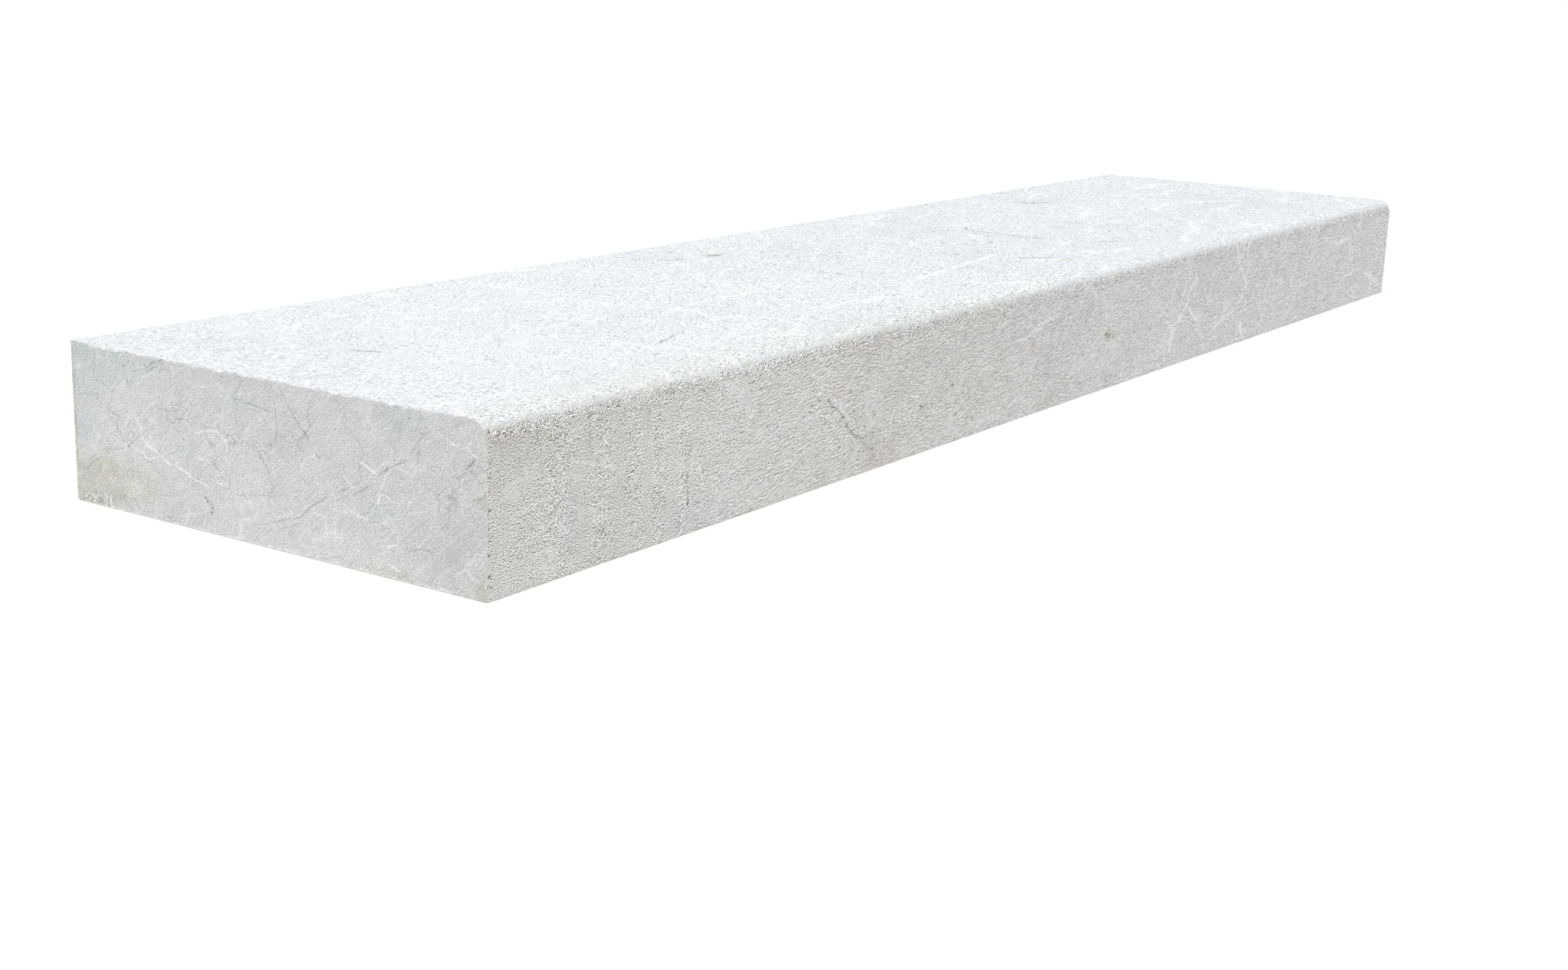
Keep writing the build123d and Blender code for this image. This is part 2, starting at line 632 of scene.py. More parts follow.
def stains() -> list[Stain]:
    """Gives the patches of other colours on the faces."""
    # Each is its middle, its two half sizes, how much it shows and, where it is turned, by how much
    patches = {
        (Place.LEFT, Tint.OCHRE): (
            ((30, 132), (52, 30), 0.85, -8), ((82, 122), (34, 22), 0.6), ((1, 80), (4, 90), 1.0),
            ((497, 66), (12, 7), 0.6), ((497, 144), (12, 10), 1.0), ((398, 146), (40, 7), 0.5),
            ((470, 132), (40, 22), 0.25),
        ),
        (Place.LEFT, Tint.CRUMBLE): (
            ((24, 144), (26, 8), 1.0),
        ),
        (Place.LEFT, Tint.SLATE): (
            ((30, 22), (58, 26), 0.7, -16), ((92, 20), (38, 9), 0.5, -26), ((10, 78), (14, 20), 0.6),
            ((220, 26), (16, 7), 0.35), ((140, 29), (8, 4), 0.5), ((118, 71), (7, 4), 0.5),
            ((142, 79), (8, 4), 0.5), ((384, 96), (13, 8), 0.4), ((410, 12), (22, 10), 0.4),
        ),
        (Place.LEFT, Tint.ROSE): (
            ((202, 8), (16, 7), 0.7), ((448, 106), (40, 26), 0.6), ((488, 62), (12, 30), 0.4),
            ((210, 138), (90, 14), 0.5, -4), ((155, 5), (26, 5), 0.5),
        ),
        (Place.LEFT, Tint.SMOKE): (
            ((300, 30), (120, 36), 0.35), ((430, 75), (120, 90), 0.45), ((260, 5), (270, 11), 0.45),
        ),
        (Place.RISER, Tint.OCHRE): (
            ((300, 80), (900, 130), 0.22), ((40, 26), (66, 22), 0.6, 6), ((10, 40), (22, 22), 0.5),
            ((600, 136), (52, 14), 0.3), ((606, 144), (30, 7), 0.5), ((1150, 82), (24, 7), 0.7, 8),
            ((992, 142), (42, 9), 0.3), ((820, 24), (120, 16), 0.3),
        ),
        (Place.RISER, Tint.ROSE): (
            ((600, 134), (50, 16), 0.4), ((526, 62), (26, 14), 0.5), ((586, 20), (58, 12), 0.4),
            ((930, 66), (60, 14), 0.4, 24),
        ),
        (Place.RISER, Tint.SLATE): (
            ((286, 136), (58, 14), 0.6), ((107, 100), (12, 34), 0.4), ((1130, 134), (40, 12), 0.4),
            ((1522, 132), (56, 15), 0.5), ((1690, 66), (90, 12), 0.3),
        ),
        (Place.RISER, Tint.SMOKE): (
            ((120, 30), (120, 30), 0.2), ((850, 40), (160, 34), 0.3), ((1500, 60), (160, 44), 0.25),
        ),
        (Place.TREAD, Tint.OCHRE): (
            ((874, 94), (13, 12), 1.0, 35), ((808, 82), (20, 5), 0.8, 25), ((1178, 424), (30, 10), 0.5),
        ),
        (Place.TREAD, Tint.SMOKE): (
            ((808, 82), (20, 6), 1.0, 25), ((876, 93), (9, 10), 1.0, 35), ((1720, 110), (70, 34), 0.15),
        ),
        (Place.TREAD, Tint.SLATE): (
            ((130, 90), (110, 46), 0.15, -32), ((1640, 130), (200, 70), 0.15, -12),
            ((1960, 320), (220, 130), 0.2, -10),
        ),
    }
    return [Stain(place, tint, *row) for (place, tint), rows in patches.items() for row in rows]


def chips(shape: BlockShape) -> list[Chip]:
    """Gives the larger breaks of the arrises.

    Args:
        shape: The block.

    Returns:
        The chips.
    """
    low, high = shape.low, shape.high
    # Along the left end of the tread: the distance from the back, half the length, and the size
    left_tread = (
        (46, 6, 3.0), (62, 5, 2.2), (92, 5, 2.0), (195, 7, 2.4), (285, 6, 2.2), (332, 9, 3.2), (398, 7, 2.4),
    )
    # At the corners: the spot, half the length, and the size
    corners = (
        ((low.x, low.y, low.z), 5, 2.0),
        ((low.x, low.y, low.z + 14 * MM), 6, 2.4),
        ((low.x, high.y, low.z), 4, 1.6),
        ((high.x, low.y, low.z), 6, 2.4),
        ((high.x, high.y, high.z), 6, 2.4),
    )
    breaks = [((low.x, high.y - away * MM, high.z), reach, size) for away, reach, size in left_tread]
    return [Chip(spot, reach * MM, size * MM) for spot, reach, size in (*breaks, *corners)]


def wandering_seams(place: Place, extent: Pair, count: int, seed: int) -> list[Seam]:
    """Makes seams for a face that isn't described mark by mark.

    Args:
        place: Where the seams are measured from.
        extent: The two sizes of the face, in millimetres.
        count: How many seams to make.
        seed: The seed of the random draws.

    Returns:
        The seams, pale and dark.
    """
    draw = np.random.default_rng(seed)
    made = []
    for _ in range(count):
        spot = draw.uniform((0.04, 0.08), (0.96, 0.92)) * extent
        heading = draw.uniform(-0.9, 0.9) + (math.pi if draw.random() < 0.5 else 0.0)
        step = draw.uniform(9.0, 18.0)
        route = [tuple(spot)]
        for _ in range(draw.integers(2, 8)):
            heading += draw.normal(0.0, 0.35)
            spot = spot + step * np.array((math.cos(heading), math.sin(heading)))
            if not (0.0 < spot[0] < extent[0] and 0.0 < spot[1] < extent[1]):
                break
            route.append(tuple(spot))
        if len(route) < 3:
            continue
        tone = Tone.PALE if draw.random() < 0.45 else Tone.DARK
        made.append(Seam(place, tone, draw.uniform(1.0, 1.6), draw.uniform(0.25, 0.7), tuple(route)))
    return made


@dataclass
class Marks:
    """Everything that time and the quarry left on the block's faces.

    Attributes:
        shape: The block that carries the marks.
        seams: Its veins, hairlines and cracks.
        stains: Its patches.
        pits: Its holes.
        chips: The larger breaks of its arrises.
        layers: How many seams can pass one spot.
        wobble: How far a seam that isn't open strays from its route, in metres.
        wobble_size: About how far apart its bends are, in metres.
        far_aside: How far aside a seam is where there is none, in half widths.
    """

    shape: BlockShape
    seams: list[Seam]
    stains: list[Stain]
    pits: list[Pit]
    chips: list[Chip]
    layers: int = 5
    wobble: float = 1.1 * MM
    wobble_size: float = 17.0 * MM
    far_aside: float = 30.0

    def detail_points(self, side: Side) -> Array:
        """Gives the extra points that the mesh needs to follow open cracks and pits.

        Args:
            side: The side to be meshed.

        Returns:
            Points on the flat side, in metres.
        """
        found = [np.zeros((0, 2))]
        for seam in self.seams:
            own, line = self.shape.flatten(seam.place, seam.route)
            if own is side and seam.depth:
                found.append(self._beside(line, seam.width * MM))
        for pit in self.pits:
            own, centre = self.shape.flatten(pit.place, [pit.centre])
            if own is side:
                found.append(self._around(centre[0], pit.radius * MM))
        return np.concatenate(found)

    @staticmethod
    def _beside(line: Array, width: float) -> Array:
        """Gives rows of points along a crack, on it and beside it."""
        rows = []
        for start, end in zip(line[:-1], line[1:]):
            span = np.linalg.norm(end - start)
            along = (end - start) / span
            across = np.array((-along[1], along[0]))
            for aside in (-1.3, -0.55, 0.0, 0.55, 1.3):
                steps = np.arange(0.0, span, 1.3 * MM) + (0.65 * MM if aside in (-0.55, 0.55) else 0.0)
                rows.append(start + steps[:, None] * along + aside * width * across)
        return np.concatenate(rows)

    @staticmethod
    def _around(centre: Array, radius: float) -> Array:
        """Gives rings of points in a pit and round it."""
        rings = [centre[None]]
        for share, count in ((0.4, 6), (0.75, 10), (1.1, 14), (1.6, 16)):
            turn = np.arange(count) * math.tau / count + share
            rings.append(centre + share * radius * np.stack([np.cos(turn), np.sin(turn)], 1))
        return np.concatenate(rings)

    def hollow(self, side: Side, flat: Array) -> Array:
        """Gives how deep the open cracks and the pits are.

        Args:
            side: The side.
            flat: Points on it, in metres.

        Returns:
            The depth at each point, in metres.
        """
        deep = np.zeros(len(flat))
        ragged = ripple(flat, 2.2 * MM, 3.0)
        bridged = eased(ripple(flat, 4.5 * MM, 41.0), -0.3, 0.1)
        for seam in self.seams:
            own, line = self.shape.flatten(seam.place, seam.route)
            if own is side and seam.depth:
                aside, along = seam.measure(line, flat)
                open_part = eased(np.abs(aside) / (seam.width * MM) + 0.25 * ragged, 0.75, 0.1)
                taper = eased(along, 0.0, 0.08) * eased(along, 1.0, 0.92) * bridged
                deep = np.maximum(deep, seam.depth * MM * open_part * taper)
        for pit in self.pits:
            own, centre = self.shape.flatten(pit.place, [pit.centre])
            if own is side:
                away = np.linalg.norm(flat - centre, axis=1) / (pit.radius * MM)
                deep = np.maximum(deep, pit.depth * MM * eased(away + 0.25 * ragged, 1.15, 0.25))
        return deep

    def stain_shares(self, side: Side, flat: Array) -> dict[Tint, Array]:
        """Gives the share of each tint at points of a side."""
        shares = {tint: np.zeros(len(flat)) for tint in Tint}
        ragged = ripple(flat, 24.0 * MM, 7.0) + 0.5 * ripple(flat, 8.0 * MM, 9.0)
        for stain in self.stains:
            own, centre = self.shape.flatten(stain.place, [stain.centre])
            if own is side:
                shares[stain.tint] = np.maximum(shares[stain.tint], stain.weigh(centre[0], flat, ragged))
        return shares

    def seam_layers(self, side: Side, flat: Array, spacing: float) -> tuple[Array, Array]:
        """Measures points of a side against the seams that cross it.

        A shader draws a seam from how far each point of the mesh lies beside it, so a seam may be far thinner
        than the mesh is fine. Seams that pass close to each other take turns in the layers.

        Args:
            side: The side.
            flat: The mesh's points on it, in metres.
            spacing: About how far apart the points are, in metres.

        Returns:
            The distance aside, in half widths, and the signed share, with one row for each layer.
        """
        aside = np.full((self.layers, len(flat)), self.far_aside)
        share = np.zeros((self.layers, len(flat)))
        sway = np.stack([ripple(flat, self.wobble_size, 11.0), ripple(flat, self.wobble_size, 23.0)], 1)
        taken: list[list[Array]] = [[] for _ in range(self.layers)]
        for seam in self.seams:
            own, line = self.shape.flatten(seam.place, seam.route)
            if own is not side:
                continue
            width = seam.width * MM
            fade = 2.1 * spacing + width
            layer = self._free_layer(taken, line, 2.0 * fade)
            taken[layer].append(self._sampled(line))
            near = self._near(line, flat, 1.7 * fade)
            wander = 0.0 if seam.depth else self.wobble + 0.8 * width
            gap, along = seam.measure(line, flat[near] + wander * sway[near])
            shown = eased(np.abs(gap), fade, 1.15 * spacing + 0.6 * width)
            shown *= eased(along, 0.0, 0.09) * eased(along, 1.0, 0.91) * seam.strength * seam.tone.value
            stronger = np.abs(shown) >= np.abs(share[layer, near])
            index = np.flatnonzero(near)[stronger]
            aside[layer, index] = (gap / (0.5 * width))[stronger]
            share[layer, index] = shown[stronger]
        return aside, share

    def _free_layer(self, taken: list[list[Array]], line: Array, clear: float) -> int:
        """Finds the first layer where a line stays clear of the others, or else the emptiest."""
        own = self._sampled(line)
        for layer, others in enumerate(taken):
            gaps = [np.linalg.norm(own[:, None] - other[None], axis=2).min() for other in others]
            if not gaps or min(gaps) > clear:
                return layer
        return min(range(len(taken)), key=lambda layer: len(taken[layer]))

    @staticmethod
    def _sampled(line: Array) -> Array:
        """Gives points every few millimetres along a line."""
        steps = np.linspace(0.0, 1.0, 6)[:, None]
        return np.concatenate([start + steps * (end - start) for start, end in zip(line[:-1], line[1:])])

    @staticmethod
    def _near(line: Array, flat: Array, margin: float) -> Array:
        """Picks the points in the box round a line, with a margin."""
        low, high = line.min(0) - margin, line.max(0) + margin
        return ((flat > low) & (flat < high)).all(1)


@dataclass
class StepTread:
    """The block of stone: it meshes its sides, wears them and dresses them.

    Attributes:
        shape: The sawn and rounded outline.
        marks: What the faces carry.
        spacing: How far apart the mesh's points are on each side, in metres.
        end_spacing: The same along the arrises of the two ends.
        long_spacing: The same along the long arrises.
        rings: How far from an arris the extra rows of points lie, in metres.
        cell: The size of the cells that hold one point each, close to marks, in metres.
        swell: How uneven the dressed faces are, in metres.
        sawn_swell: How uneven the sawn faces are, in metres.
        worn_arris: How much the saw's arrises are usually worn, in metres.
        broken_arris: How much more is lost where they are broken, in metres.
        smooth_angle: The angle above which an edge is shaded as sharp, in radians.
    """

    shape: BlockShape
    marks: Marks
    spacing: dict[Side, float] = field(default_factory=lambda: {
        Side.DRESSED: 5.9 * MM,
        Side.BACK: 10.0 * MM,
        Side.BED: 16.0 * MM,
        Side.LEFT: 3.2 * MM,
        Side.RIGHT: 3.2 * MM,
    })
    end_spacing: float = 1.5 * MM
    long_spacing: float = 2.8 * MM
    rings: tuple[float, ...] = (1.2 * MM, 2.9 * MM)
    cell: float = 0.62 * MM
    swell: float = 0.34 * MM
    sawn_swell: float = 0.06 * MM
    worn_arris: float = 0.9 * MM
    broken_arris: float = 3.4 * MM
    smooth_angle: float = math.radians(38.0)

    def build(self) -> bpy.types.Object:
        """Makes the stone as one closed mesh.

        Returns:
            The object, with its attributes, and with one material index for each finish.
        """
        places: list[Array] = []
        pushes: list[Array] = []
        traits: list[dict[str, Array]] = []
        faces: list[Array] = []
        indices: list[Array] = []
        count = 0
        for side in Side:
            flat, triangles = self._mesh_side(side)
            place, into = self.shape.lift(side, flat)
            triangles = self._turned_outward(place, into, triangles)
            hollow = self.marks.hollow(side, flat)
            places.append(place)
            pushes.append(into * (hollow + self._swell(side, place))[:, None])
            traits.append(self._traits(side, flat, hollow))
            faces.append(triangles + count)
            indices.append(np.full(len(triangles), self._finish_index(side)))
            count += len(place)
            log.info("%s: %d points, %d triangles", side.value, len(place), len(triangles))
        unique, belongs = self._welded(np.concatenate(places))
        push = np.zeros((len(unique), 3))
        np.add.at(push, belongs, np.concatenate(pushes))
        moved, worn = self._break_arrises(unique + push)
        values = self._merged(traits, belongs, len(unique))
        values["arris"] = worn
        drop = self.shape.high.z - unique[:, 2]
        # Where the riser takes over as the nosing turns down into shade: its grain, and its warmer colour,
        # which is painted bounce light
        values["riser"] = eased(drop, 3.0 * MM, 11.0 * MM)
        # Painted shade: a darker band just under the nosing, where the nosing turns down into shade
        values["shade_band"] = eased(drop, 3.5 * MM, 10.5 * MM) * eased(drop, 27.0 * MM, 13.0 * MM)
        return self._object(moved, belongs[np.concatenate(faces)], np.concatenate(indices), values)

    @staticmethod
    def _finish_index(side: Side) -> int:
        """Gives the material index of a side: blasted, sawn across or sawn along."""
        return {Side.DRESSED: 0, Side.LEFT: 1, Side.RIGHT: 1}.get(side, 2)

    def _stations(self, side: Side) -> Array:
        """Gives the points on a side's outline, which its neighbours share.

        Args:
            side: The side.

        Returns:
            Points on the flat side, in metres.
        """
        shape = self.shape

        def steps(start: float, end: float, spacing: float) -> Array:
            """Divides a stretch into even steps, with both ends."""
            return np.linspace(start, end, max(2, round((end - start) / spacing) + 1))

        dressed = np.unique(np.concatenate([
            steps(0.0, shape.flat, self.end_spacing),
            steps(shape.flat, shape.flat + shape.arc, self.end_spacing)[1:],
            steps(shape.flat + shape.arc, shape.extent(Side.DRESSED)[1], self.end_spacing)[1:],
        ]))
        girths = {
            Side.DRESSED: dressed,
            Side.BACK: steps(0.0, shape.height, self.end_spacing),
            Side.BED: steps(0.0, shape.depth, 1.5 * self.end_spacing),
        }
        if side in girths:
            width, girth = shape.extent(side)
            long = steps(0.0, width, self.long_spacing)
            ends = girths[side][1:-1]
            return np.concatenate([
                np.stack([long, np.zeros_like(long)], 1),
                np.stack([long, np.full_like(long, girth)], 1),
                np.stack([np.zeros_like(ends), ends], 1),
                np.stack([np.full_like(ends, width), ends], 1),
            ])
        around = []
        for own, girth in girths.items():
            place, _ = shape.lift(own, np.stack([np.zeros_like(girth), girth], 1))
            around.append(np.stack([shape.high.y - place[:, 1], shape.high.z - place[:, 2]], 1))
        outline = np.concatenate(around)
        _, first = np.unique(np.round(outline, 6), axis=0, return_index=True)
        return outline[np.sort(first)]

    def _mesh_side(self, side: Side) -> tuple[Array, Array]:
        """Scatters points over a side, close together by its arrises and marks, and joins them in triangles.

        Args:
            side: The side.

        Returns:
            The points on the flat side, in metres, and three indices for each triangle.
        """
        outline = self._stations(side)
        spacing = self.spacing[side]
        edge_spacing = self.end_spacing if side in (Side.LEFT, Side.RIGHT) else self.long_spacing
        details = self.marks.detail_points(side)
        details = details[self.shape.room(side, details) > self.rings[0]]
        close = np.concatenate([*(self._ring(side, outline, depth) for depth in self.rings), details])
        lattice = self._lattice(side, spacing)
        rim = self.rings[-1] + 0.45 * min(spacing, 2.0 * edge_spacing)
        lattice = lattice[self.shape.room(side, lattice) > rim]
        flat = self._thinned(outline, close, lattice, spacing)
        corners, _, triangles, origins, _, _ = delaunay_2d_cdt(
            [Vector(p) for p in (flat / MM).tolist()], [], [], 0, 1e-5, True
        )
        first = np.array([ids[0] for ids in origins])
        if len(corners) != len(flat):
            log.warning("%s: %d points were merged", side.value, len(flat) - len(corners))
        return flat, first[np.array(triangles)]

    def _ring(self, side: Side, outline: Array, depth: float) -> Array:
        """Gives a row of points at one distance inside a side's outline, each inward of its own edge."""
        middle = np.array(self.shape.extent(side)) / 2.0
        away = np.abs(outline - middle) / middle
        sideways = away[:, 0] > away[:, 1]
        step = np.where(sideways[:, None], (1.0, 0.0), (0.0, 1.0)) * -np.sign(outline - middle)
        inner = outline + depth * step
        return inner[self.shape.room(side, inner) > 0.93 * depth]

    def _lattice(self, side: Side, spacing: float) -> Array:
        """Gives a staggered and slightly shaken grid over a side."""
        width, girth = self.shape.extent(side)
        rows = []
        for number, level in enumerate(np.arange(0.0, girth, spacing * math.sqrt(0.75))):
            across = np.arange(0.5 * spacing * (number % 2), width, spacing)
            rows.append(np.stack([across, np.full_like(across, level)], 1))
        points = np.concatenate(rows)
        shake = np.random.default_rng(len(points)).uniform(-0.16, 0.16, points.shape)
        return points + shake * spacing

    def _thinned(self, outline: Array, close: Array, lattice: Array, spacing: float) -> Array:
        """Joins three sets of points and leaves out those that crowd an earlier one.

        Args:
            outline: The points on the outline, which all stay.
            close: Those close to arrises and marks.
            lattice: Those of the wide grid.
            spacing: How far apart the grid's points are, in metres.

        Returns:
            The points that stay.
        """
        kept = [tuple(p) for p in outline]
        filled = {(round(x / self.cell), round(y / self.cell)) for x, y in kept}
        for x, y in close.tolist():
            key = (round(x / self.cell), round(y / self.cell))
            if key not in filled:
                filled.add(key)
                kept.append((x, y))
        tree = KDTree(len(kept))
        for index, (x, y) in enumerate(kept):
            tree.insert((x, y, 0.0), index)
        tree.balance()
        clear = min(0.6 * spacing, 3.0 * MM)
        kept += [(x, y) for x, y in lattice.tolist() if tree.find((x, y, 0.0))[2] > clear]
        return np.array(kept)

    @staticmethod
    def _turned_outward(place: Array, into: Array, triangles: Array) -> Array:
        """Orders each triangle's corners so that its normal points out of the stone."""
        a, b, c = (place[triangles[:, i]] for i in range(3))
        inward = np.einsum("ij,ij->i", np.cross(b - a, c - a), into[triangles[:, 0]]) > 0.0
        return np.where(inward[:, None], triangles[:, ::-1], triangles)

    def _swell(self, side: Side, place: Array) -> Array:
        """Gives how far the tool took the face in from the true plane, in metres. It is never negative."""
        if side is Side.DRESSED:
            broad = ripple(place, 55.0 * MM, 5.0)
            fine = ripple(place, 14.0 * MM, 8.0)
            return self.swell * np.clip(0.55 + 0.6 * broad + 0.45 * fine, 0.0, 1.6)
        return self.sawn_swell * np.clip(0.5 + ripple(place, 60.0 * MM, 6.0), 0.0, 1.0)

    def _traits(self, side: Side, flat: Array, hollow: Array) -> dict[str, Array]:
        """Gives what the shaders read at each point: hollows, tints and seams."""
        traits = {"hollow": np.clip(hollow / (1.2 * MM), 0.0, 1.0)}
        for tint, share in self.marks.stain_shares(side, flat).items():
            traits[tint.value] = share
        aside, share = self.marks.seam_layers(side, flat, self.spacing[side])
        for layer in range(self.marks.layers):
            traits[f"seam{layer}_aside"] = aside[layer]
            traits[f"seam{layer}_share"] = share[layer]
        return traits

    @staticmethod
    def _welded(places: Array) -> tuple[Array, Array]:
        """Makes one point of each set that lies in one place.

        Args:
            places: Points in space, in metres.

        Returns:
            The separate points, and for each given point the index of its own.
        """
        _, first, belongs = np.unique(np.round(places, 6), axis=0, return_index=True, return_inverse=True)
        return places[first], belongs.reshape(-1)

    @staticmethod
    def _merged(traits: list[dict[str, Array]], belongs: Array, count: int) -> dict[str, Array]:
        """Gives each welded point one value of each trait: that of the side where it counts most.

        Args:
            traits: The values by name, side by side.
            belongs: For each point of the sides, the index of its welded point.
            count: How many welded points there are.

        Returns:
            The welded points' values by name.
        """
        joined = {name: np.concatenate([one[name] for one in traits]) for name in traits[0]}
        merged = {name: np.zeros(count) for name in joined}
        for name, values in joined.items():
            weight = np.abs(joined[name.replace("_aside", "_share")])
            order = np.argsort(weight, kind="stable")
            merged[name][belongs[order]] = values[order]
        return merged

    def _break_arrises(self, places: Array) -> tuple[Array, Array]:
        """Breaks the sharp arrises: each is cut back to a small ragged slope.

        Args:
            places: The mesh's points, in metres.

        Returns:
            The moved points, and how far each lies on a broken arris, from 0 to 1.
        """
        shape = self.shape
        loss = self._arris_loss(places)
        rough = 1.0 + 0.4 * ripple(places, 1.7 * MM, 31.0)
        moved = places.copy()
        worn = np.zeros(len(places))
        for first, second in self._arris_pairs():
            depth_one, into_one = first(moved)
            depth_two, into_two = second(moved)
            lack = np.maximum(loss - depth_one - depth_two, 0.0)
            step = 0.5 * lack * np.clip(rough, 0.6, 1.4)
            moved += step[:, None] * (into_one + into_two)
            worn = np.maximum(worn, np.clip(lack / self.worn_arris, 0.0, 1.0))
        low, high = np.array(shape.low), np.array(shape.high)
        return np.clip(moved, low, high), worn

    def _arris_loss(self, places: Array) -> Array:
        """Gives how much stone is missing from the arris near each point.

        Args:
            places: Points in space, in metres.

        Returns:
            One depth for each point, in metres.
        """
        small = 0.55 + 0.6 * ripple(places, 4.5 * MM, 13.0) + 0.35 * ripple(places, 2.0 * MM, 17.0)
        large = ripple(places, 24.0 * MM, 19.0) + 0.6 * ripple(places, 7.0 * MM, 29.0)
        loss = self.worn_arris * np.clip(small, 0.12, 1.6)
        loss += self.broken_arris * np.clip(large - 0.55, 0.0, 1.0)
        for chip in self.marks.chips:
            away = np.linalg.norm(places - np.array(chip.spot), axis=1) / chip.reach
            loss = np.maximum(loss, chip.size * eased(away, 1.0, 0.2))
        return loss

    def _arris_pairs(self) -> list[tuple[Callable, Callable]]:
        """Gives the pairs of faces that meet in a sharp arris, each as a measure of depth and direction."""
        shape = self.shape

        def plane(axis: int, level: float, sign: float) -> Callable:
            """Measures against a flat face."""
            into = np.zeros(3)
            into[axis] = sign
            return lambda places: ((places[:, axis] - level) * sign, np.broadcast_to(into, places.shape))

        def skin(places: Array) -> tuple[Array, Array]:
            """Measures against the nearest long face or the nosing."""
            across, drop = shape.high.y - places[:, 1], shape.high.z - places[:, 2]
            depths = np.stack([across, shape.depth - across, drop, shape.height - drop], 1)
            steps = np.array(((0, -1, 0), (0, 1, 0), (0, 0, -1), (0, 0, 1)), float)
            into = steps[np.argmin(depths, axis=1)]
            from_axis = np.stack([shape.nosing - (shape.depth - across), shape.nosing - drop], 1)
            in_nosing = (from_axis > 0.0).all(1)
            radius = np.maximum(np.linalg.norm(from_axis, axis=1), 1e-9)
            inward, downward = from_axis[:, 0] / radius, -from_axis[:, 1] / radius
            round_into = np.stack([np.zeros(len(places)), inward, downward], 1)
            into = np.where(in_nosing[:, None], round_into, into)
            return shape.skin_depth(across, drop), into

        left, right = plane(0, shape.low.x, 1.0), plane(0, shape.high.x, -1.0)
        back, front = plane(1, shape.high.y, -1.0), plane(1, shape.low.y, 1.0)
        bed, tread = plane(2, shape.low.z, 1.0), plane(2, shape.high.z, -1.0)
        return [(left, skin), (right, skin), (back, tread), (back, bed), (front, bed)]

    def _object(
        self, places: Array, faces: Array, indices: Array, values: dict[str, Array]
    ) -> bpy.types.Object:
        """Makes the Blender object.

        Args:
            places: The points, in metres.
            faces: Three indices for each triangle.
            indices: The material of each triangle.
            values: The points' attributes by name.

        Returns:
            The object.
        """
        mesh = bpy.data.meshes.new(NODE + "_stone")
        mesh.from_pydata(places.tolist(), [], faces.tolist())
        mesh.polygons.foreach_set("material_index", indices.astype(np.int32))
        mesh.polygons.foreach_set("use_smooth", np.ones(len(faces), bool))
        mesh.set_sharp_from_angle(angle=self.smooth_angle)
        for name, value in values.items():
            attribute = mesh.attributes.new(name, "FLOAT", "POINT")
            attribute.data.foreach_set("value", value.astype(np.float32))
        mesh.update()
        if mesh.validate(verbose=False):
            log.warning("the mesh had faults, which were repaired")
        stone = bpy.data.objects.new(NODE + "_stone", mesh)
        bpy.context.scene.collection.objects.link(stone)
        return stone


NUMBER = "NodeSocketFloat"
COLOUR = "NodeSocketColor"
VECTOR = "NodeSocketVector"
STRAIGHT = (VECTOR, (0.0, 0.0, 0.0))
EVEN = (VECTOR, (1.0, 1.0, 1.0))
# The levels of the grain's noise in a hollow and on a crest
CREST_LEVELS = (0.2, 0.8)


